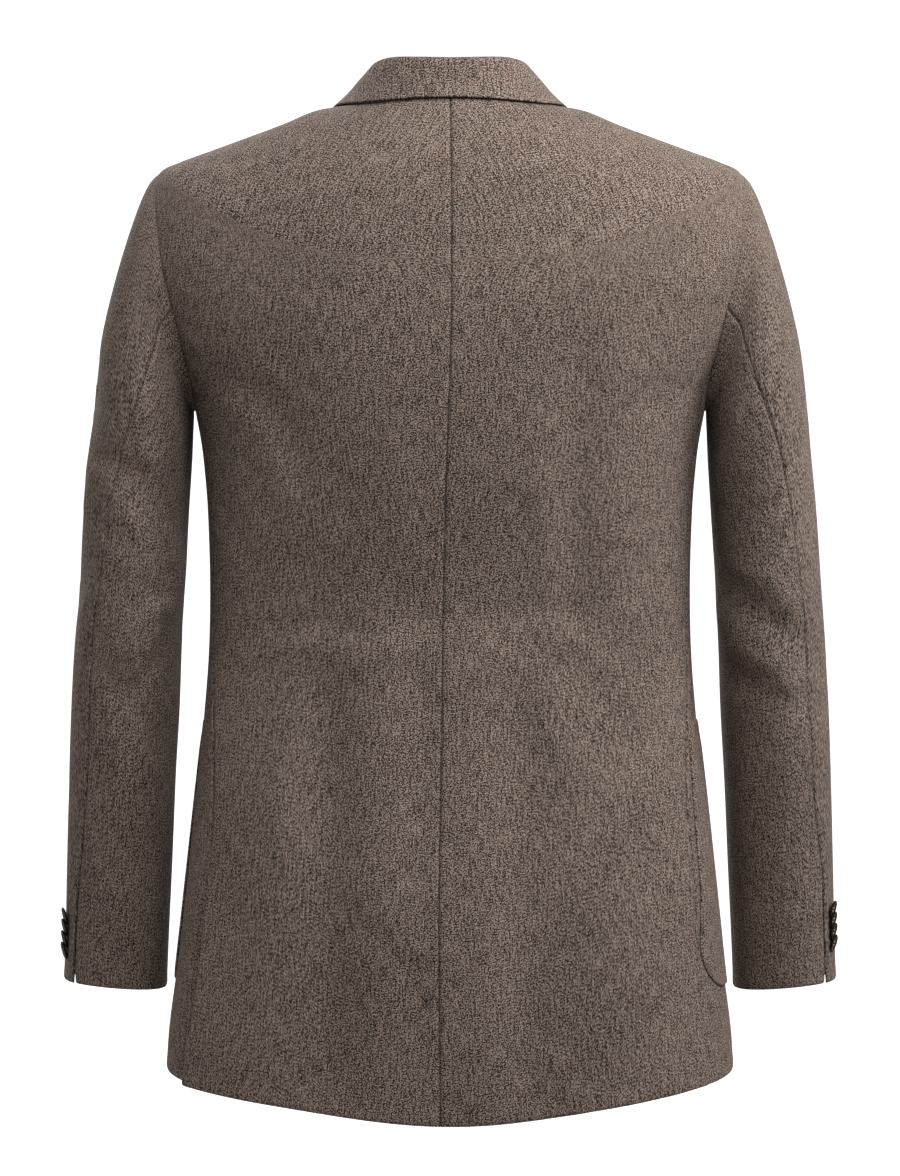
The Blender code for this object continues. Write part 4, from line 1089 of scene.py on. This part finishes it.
def sleeve_bare(turn, station):
    """Hermite curve through the rings along each lengthwise line."""
    rings = sleeve_stations(turn)
    slopes = np.gradient(rings, axis=0)
    slopes[0] = rings[1] - rings[0]
    place = np.clip(np.floor(station).astype(int), 0, len(rings) - 2)
    t = (station - place)[..., None]
    columns = np.indices(turn.shape)
    here, there = rings[(place, *columns)], rings[(place + 1, *columns)]
    leave, arrive = slopes[(place, *columns)], slopes[(place + 1, *columns)]
    return hermite(t, 1.0, here, there, leave, arrive)


def sleeve_height(turn, points, folds, side):
    """The folds' height on a sleeve, unrolled to 45 mm for each radian of its turn."""
    return fold_height(np.mod(turn, 2 * np.pi) * SLEEVE_RADIUS, points[..., 2], folds, side,
                       np.radians(folds["angle0"]) * SLEEVE_RADIUS, folds["z0"],
                       np.radians(folds["angle1"]) * SLEEVE_RADIUS, folds["z1"])


def sleeve_folded(turn, station, side):
    """The sleeve's form with its large folds."""
    bare = sleeve_bare(turn, station)
    height = sleeve_height(turn, bare, SLEEVE_FOLDS, side) * ease(0.6, 2.5, station)
    return bare + normals(sleeve_bare, turn, station, 1e-3) * height[..., None]


print("sleeve folds", len(SLEEVE_FOLDS["side"]), "creases", len(SLEEVE_CREASES["side"]))

# %% [markdown]
# The cap is cut longer than the armhole and eased in, so a row of tiny gathers radiates below the seam and
# the seam's upper half stands up a little. Both are small waves along the turn that fade down the sleeve.

# %% Sleeve pieces
CUFF_VENT = {"start": 12.0, "reach": 0.012, "rise": 0.7 * MM, "under": -0.3}
STATION_LENGTH = 0.026
CAP_ROLL = {"height": 1.1 * MM, "reach": 0.016}
CAP_GATHERS = {"height": 0.28 * MM, "reach": 0.013}
SEAM_GAP = 0.12 * MM


def sleeve_rows():
    """Stations at even distances down the sleeve's back."""
    fine = np.linspace(0.0, LAST_STATION, 600)
    line = sleeve_bare(np.full_like(fine, 1.2), fine)
    length = np.concatenate([[0.0], np.cumsum(np.linalg.norm(np.diff(line, axis=0), axis=1))])
    return np.interp(shares(length[-1]) * length[-1], length, fine)


SLEEVE_ROWS = sleeve_rows()


def sleeve_outer(turn, station, side):
    """The sleeve's outer face: folds, creases, the cap's roll, and the eased gathers, which are
    sin(31 turn + 1.3 sin(5 turn)) and fade down the sleeve."""
    points = sleeve_folded(turn, station, side)
    out = -grid_normals(points, False)
    cap = np.cos(turn) * 0.5 + 0.5
    down = station * STATION_LENGTH
    height = CREASE_GAIN * sleeve_height(turn, points, SLEEVE_CREASES, side) * ease(0.8, 2.5, station)
    height = height + CAP_ROLL["height"] * cap ** 2 * ease(0.0, 0.2, station) * bell(down, CAP_ROLL["reach"])
    gathers = np.sin(turn * 31.0 + 1.3 * np.sin(turn * 5.0)) * bell(down, CAP_GATHERS["reach"])
    height = height + CAP_GATHERS["height"] * gathers * cap * ease(0.0, 0.12, station)
    return points + out * height[..., None]


def mirrored(points, side):
    """The points for the wearer's left (side 1) or right (side -1)."""
    return points * np.array([side, 1.0, 1.0])


def sleeve_seam(station, column):
    """The angle of a sleeve seam at a station."""
    return np.radians(smooth(SLEEVE_SEAMS["station"], SLEEVE_SEAMS[column], station))


def make_sleeve(side, upper):
    """The upper or under sleeve; the upper one laps over the other below the cuff vent's top. Both are worked
    out for the left and mirrored, so their rows run the other way round than the body's."""
    hind = sleeve_seam(SLEEVE_ROWS, "hindarm")
    fore = sleeve_seam(SLEEVE_ROWS, "forearm")
    gap = SEAM_GAP / SLEEVE_RADIUS
    vent = 0.02 * ease(13.75, 14.0, SLEEVE_ROWS)
    kind = "sleeve_top" if upper else "sleeve_under"
    if upper:
        turn = spread(fore - 2 * np.pi + gap, hind - gap - vent, shares(WIDTHS[kind]))
    else:
        turn = spread(hind + gap + vent, fore - gap, shares(WIDTHS[kind]))
    station = across_rows(SLEEVE_ROWS, turn)
    outer = sleeve_outer(turn, station, side)
    flat = np.stack([np.zeros_like(turn), np.sin(turn), np.cos(turn)], axis=-1)
    near = (1.0 - ease(0.0, 0.6, station))[..., None]
    out = unit(flat * near - grid_normals(outer, False) * (1.0 - near))
    beside = (hind[:, None] - turn if upper else turn - hind[:, None]) * SLEEVE_RADIUS
    raised = ease(CUFF_VENT["start"], CUFF_VENT["start"] + 0.4, station) * bell(beside, CUFF_VENT["reach"])
    outer = outer + out * (CUFF_VENT["rise"] * raised * (1.0 if upper else CUFF_VENT["under"]))[..., None]
    inner = outer - out * WALL
    outer, inner = mirrored(outer, side), mirrored(inner, side)
    # painted shade along both sleeve seams, at 0.45 and rising to full towards the cuff vent, and in a line
    # 2.2 mm below the armhole seam where the sleeve goes under the body
    dark = (0.45 + 0.55 * ease(10.5, 12.0, SLEEVE_ROWS))[:, None]
    name = f"{kind}_{WORDS[side]}"
    return shell(f"cloth_{name}", outer, side > 0, name, ("first", "last"), ("bottom",), inner=inner,
                 lined=lining_mask(outer, bottom=SLEEVE_TURN),
                 shade_lines=[("top", 0.9, 2.2 * MM), ("first", dark, 0.0), ("last", dark, 0.0)])


sleeves = {(side, upper): make_sleeve(side, upper) for side in (1, -1) for upper in (True, False)}

# %% [markdown]
# ## Collar
# The collar stands up round the neck, folds over and falls on the back and the fronts. In section it is one
# bent strip, so a curve through eight knots, from the neck seam over the fold to the fall's edge, is carried
# round the neck.

# %% Collar
COLLAR = table("place angle level rise reach", [
    (0, 0, 3, 17.5, -5.0), (25, 25, 3.6, 18.5, -5.0), (50, 50, 5.5, 21, -5.2), (90, 88, 9.5, 23.5, -5.0),
    (115, 103.5, 17.5, 15, -2.5), (130, 113, 26.5, 7, 0), (138, 121.5, 30, 3.5, 1.5),
    (143, 129.5, 31.5, 2.8, 2.0),
], plain=("place", "angle"))
COLLAR_END = 143.0
FALL_LIFT = 2.2 * MM
FALL_CLOSER = 0.8 * MM
COLLAR_THICK = 2.0 * MM
KNOT_MARKS = np.array([0.0, 0.2, 0.4, 0.5, 0.6, 0.74, 0.88, 1.0])


def collar_section(place):
    """Neck seam, fold and fall's edge of the collar at a place along it, in degrees of the neck."""
    where = np.abs(place)
    neck = body_bare(np.radians(where), np.full_like(where, BODY["level"][0]))
    out = unit(np.stack([neck[:, 0], neck[:, 1], np.zeros_like(where)], axis=-1))
    fold = neck + out * smooth(COLLAR["place"], COLLAR["reach"], where)[:, None]
    fold[:, 2] += smooth(COLLAR["place"], COLLAR["rise"], where)
    angle = np.radians(smooth(COLLAR["place"], COLLAR["angle"], where))
    level = smooth(COLLAR["place"], COLLAR["level"], where)
    edge = body(angle, level, FALL_LIFT - FALL_CLOSER * ease(35.0, 80.0, where))
    turn = np.stack([np.where(place < 0, -1.0, 1.0), np.ones_like(where), np.ones_like(where)], axis=-1)
    return neck * turn, fold * turn, edge * turn


def collar_points(place, across):
    """Hermite curve through eight knots: up the stand, round the fold and down the fall."""
    neck, fold, edge = collar_section(place)
    size = np.clip((fold - neck)[:, 2] / (15 * MM), 0.2, 1.0)[:, None]
    up = np.array([0.0, 0.0, 1.0]) * size
    out = unit((edge - fold) * np.array([1.0, 1.0, 0.0]) + 1e-9) * size
    knots = np.stack([
        neck + np.array([0.0, 0.0, 1.1 * MM]), (neck + fold) / 2 + up * 1.0 * MM, fold - up * 3.0 * MM,
        fold + out * 2.6 * MM, fold + out * 5.4 * MM - up * 2.6 * MM,
        fold * 0.62 + edge * 0.38 + up * 1.0 * MM + out * 1.6 * MM,
        fold * 0.28 + edge * 0.72 + up * 0.6 * MM, edge])
    slopes = np.gradient(knots, KNOT_MARKS, axis=0)
    spot = np.clip(np.searchsorted(KNOT_MARKS, across, side="right") - 1, 0, len(KNOT_MARKS) - 2)
    step = KNOT_MARKS[spot + 1] - KNOT_MARKS[spot]
    t = ((across - KNOT_MARKS[spot]) / step)[None, :, None]
    here, there = knots[spot].transpose(1, 0, 2), knots[spot + 1].transpose(1, 0, 2)
    leave, arrive = slopes[spot].transpose(1, 0, 2), slopes[spot + 1].transpose(1, 0, 2)
    return hermite(t, step[None, :, None], here, there, leave, arrive)


def make_collar():
    """Stand and fall in one folded shell, from gorge to gorge."""
    place = COLLAR_END * (2.0 * shares(WIDTHS["collar"]) - 1.0)
    place = np.where(np.abs(place) < 0.5, np.sign(place + 1e-9) * 0.5, place)
    across = np.unique(np.concatenate([np.linspace(0.0, 0.4, 9), np.linspace(0.4, 0.6, 13),
                                       np.linspace(0.6, 0.97, 14), [0.98, 0.99, 1.0]]))
    middle = collar_points(place, across).transpose(1, 0, 2)
    out = grid_normals(middle, False)
    return shell("cloth_collar", middle - out * COLLAR_THICK / 2, True, "collar", (),
                 ("bottom", "first", "last"), inner=middle + out * COLLAR_THICK / 2)


collar = make_collar()

# %% [markdown]
# ## Buttons
# Horn buttons are turned on a lathe: a raised rim, a dished middle and four holes for the thread. Here the
# face is a height over radius and turn, with four smooth pits, so one grid gives the whole button.

# %% Button mesh
CUFF_BUTTON = {"radius": 0.0069, "height": 0.0017, "pitch": 0.0087, "tilt": 14.0, "count": 4,
               "first_z": -0.597, "left_drop": 0.006, "lift": 0.1 * MM, "turn_left": 26.0, "turn_right": 32.0}
FRONT_BUTTON = {"radius": 0.0105, "height": 0.0035}
FRONT_ROWS = (((0.084, -0.300), 0.96 * MM), ((0.054, -0.400), 0.8 * MM), ((0.054, -0.505), 0.5 * MM))
BUTTON_REACH = np.array([0.0, 0.5, 0.80, 0.93, 1.0, 0.98, 0.92, 0.84, 0.76, 0.70, 0.62, 0.54, 0.47, 0.42,
                         0.37, 0.32, 0.27, 0.22, 0.17, 0.12, 0.07, 0.0])
BUTTON_RISE = np.array([0.0, 0.0, 0.0, 0.18, 0.5, 0.80, 0.95, 1.0, 0.96, 0.86, 0.76, 0.73] + [0.72] * 10)
BUTTON_SIDES = 48
FACE_START = 10
HOLES = {"at": 0.19, "bottom": 0.07, "rim": 0.135, "depth": 0.5}
THREAD_THICK = 0.055
THREAD_SIDES = 6


def horn_material():
    """Dark brown horn: soft streaks of lighter brown, half polished."""
    made = bpy.data.materials.new("horn")
    made.use_nodes = True
    tree = made.node_tree
    shader = tree.nodes["Principled BSDF"]
    place = add_node(tree, "ShaderNodeTexCoord").outputs["Object"]
    streaks = noise(tree, stretched(tree, place, (1.0, 1.0, 0.25)), 420.0, 3.0, 0.6)
    colour = mixed(tree, streaks, (0.004, 0.0025, 0.002), (0.020, 0.011, 0.007))
    tree.links.new(colour, shader.inputs["Base Color"])
    shader.inputs["Roughness"].default_value = 0.42
    shader.inputs["Specular IOR Level"].default_value = 0.06
    return made


HORN = horn_material()
THREAD = plain_material("thread", (0.42, 0.35, 0.28), 0.8)


def frame_of(normal):
    """Two unit vectors across a normal: level and upright."""
    aside = unit(np.cross(normal, [0.0, 0.0, 1.0]))
    return aside, np.cross(normal, aside)


def button_grid(centre, normal, radius, height):
    """Rings of points from the back's middle round the edge to the face's middle: radius * reach and height *
    rise, less four pits of half the height."""
    aside, upright = frame_of(normal)
    turn = np.arange(BUTTON_SIDES) / BUTTON_SIDES * 2 * np.pi
    across = radius * BUTTON_REACH[:, None] * np.cos(turn)
    along = radius * BUTTON_REACH[:, None] * np.sin(turn)
    up = height * BUTTON_RISE[:, None] * np.ones_like(turn)
    face = (np.arange(len(BUTTON_REACH)) >= FACE_START)[:, None]
    for hole_x, hole_y in ((1, 1), (1, -1), (-1, 1), (-1, -1)):
        gap = np.hypot(across - HOLES["at"] * radius * hole_x, along - HOLES["at"] * radius * hole_y)
        pit = 1.0 - ease(HOLES["bottom"] * radius, HOLES["rim"] * radius, gap)
        up = up - HOLES["depth"] * height * pit * face
    return centre + across[..., None] * aside + along[..., None] * upright + up[..., None] * normal


def thread_grids(centre, normal, radius, height):
    """Two flat loops of thread over the pits: height (0.78 - 0.22 bend^4) along, with a round section."""
    aside, upright = frame_of(normal)
    bend = np.linspace(-1.0, 1.0, 9)
    ring = np.arange(THREAD_SIDES) / THREAD_SIDES * 2 * np.pi
    thick = THREAD_THICK * radius
    section = np.stack([np.zeros(THREAD_SIDES), np.cos(ring) * thick * 1.5, np.sin(ring) * thick], axis=-1)
    loops = []
    for side in (-1, 1):
        line = np.stack([HOLES["at"] * radius * bend, np.full(len(bend), HOLES["at"] * radius * side),
                         height * (0.78 - 0.22 * bend ** 4)], axis=-1)
        points = line[:, None] + section[None, :]
        loops.append(centre + points[..., :1] * aside + points[..., 1:2] * upright + points[..., 2:] * normal)
    return loops


def tube_faces(number):
    """Quads between neighbouring rings of point numbers, as lists."""
    after = np.roll(number, -1, axis=1)
    return np.stack([number[:-1], after[:-1], after[1:], number[1:]], axis=-1).reshape(-1, 4).tolist()


def make_button(name, node, centre, normal, radius, height):
    """One button with its thread. The first and last ring have no radius, so each is one point."""
    normal = unit(np.asarray(normal, dtype=float))
    grid = button_grid(centre, normal, radius, height)
    rings = 1 + np.arange((len(grid) - 2) * BUTTON_SIDES).reshape(-1, BUTTON_SIDES)
    total = rings[-1, -1] + 2
    points = [grid[:1, 0], grid[1:-1].reshape(-1, 3), grid[-1:, 0]]
    after = np.roll(rings, -1, axis=1)
    middles = np.zeros(BUTTON_SIDES, dtype=int), np.full(BUTTON_SIDES, total - 1)
    faces = tube_faces(rings)
    faces += np.stack([middles[0], after[0], rings[0]], axis=-1).tolist()
    faces += np.stack([rings[-1], after[-1], middles[1]], axis=-1).tolist()
    horn_faces = len(faces)
    for loop in thread_grids(centre, normal, radius, height):
        number = total + np.arange(loop.shape[0] * THREAD_SIDES).reshape(-1, THREAD_SIDES)
        faces += tube_faces(number) + [number[0, ::-1].tolist(), number[-1].tolist()]
        points.append(loop.reshape(-1, 3))
        total += number.size
    mesh = bpy.data.meshes.new(name)
    mesh.from_pydata(np.concatenate(points).tolist(), [], faces)
    mesh.materials.append(HORN)
    mesh.materials.append(THREAD)
    mesh.polygons.foreach_set("material_index", (np.arange(len(faces)) >= horn_faces).astype(np.int32))
    mesh.shade_smooth()
    return sew_on(name, mesh, node)


# %% Front buttons
number = 1
for (x, z), lift in FRONT_ROWS:
    for side in (1, -1):
        angle, level = locate(np.array([x * side]), np.array([z]))
        layer = 1 if side > 0 or z < BREAK_Z else -1

        def outside(first, second, layer=layer, lift=lift):
            """The face of the front that the button is sewn to, lifted by the thread's length."""
            return body(first, second, overlap_lift(first, second, layer) + lift)
        make_button(f"front_horn_{number}", f"front_button_{number}", outside(angle, level)[0],
                    normals(outside, angle, level)[0], FRONT_BUTTON["radius"], FRONT_BUTTON["height"])
        number += 1
print("front buttons", number - 1)

# %% Cuff buttons


def sleeve_point(turn, station, side):
    """A point of the sleeve's outer face and its outward normal, for a single place."""
    def shaped(first, second):
        return sleeve_folded(first, second, side)
    return shaped(turn, station)[0], -normals(shaped, turn, station, 1e-3)[0]


tilt = np.radians(CUFF_BUTTON["tilt"])
for side in (1, -1):
    for number in range(CUFF_BUTTON["count"]):
        drop = CUFF_BUTTON["left_drop"] if side > 0 else 0.0
        z = CUFF_BUTTON["first_z"] - CUFF_BUTTON["pitch"] * number - drop
        station = np.array([np.interp(-z, -SLEEVE["out_z"], np.arange(1, 15))])
        turn = np.radians([CUFF_BUTTON[f"turn_{WORDS[side]}"]])
        seat, out = sleeve_point(turn, station, side)
        down = unit(sleeve_point(turn, station + 0.1, side)[0] - sleeve_point(turn, station - 0.1, side)[0])
        face = unit(out * np.cos(tilt) + down * np.sin(tilt))
        centre = seat + out * (0.85 * CUFF_BUTTON["radius"] * np.sin(tilt) + CUFF_BUTTON["lift"])
        word = f"{WORDS[side]}_{number + 1}"
        make_button(f"cuff_horn_{word}", f"cuff_button_{word}", mirrored(centre, side), mirrored(face, side),
                    CUFF_BUTTON["radius"], CUFF_BUTTON["height"])
print("cuff buttons", 2 * CUFF_BUTTON["count"])
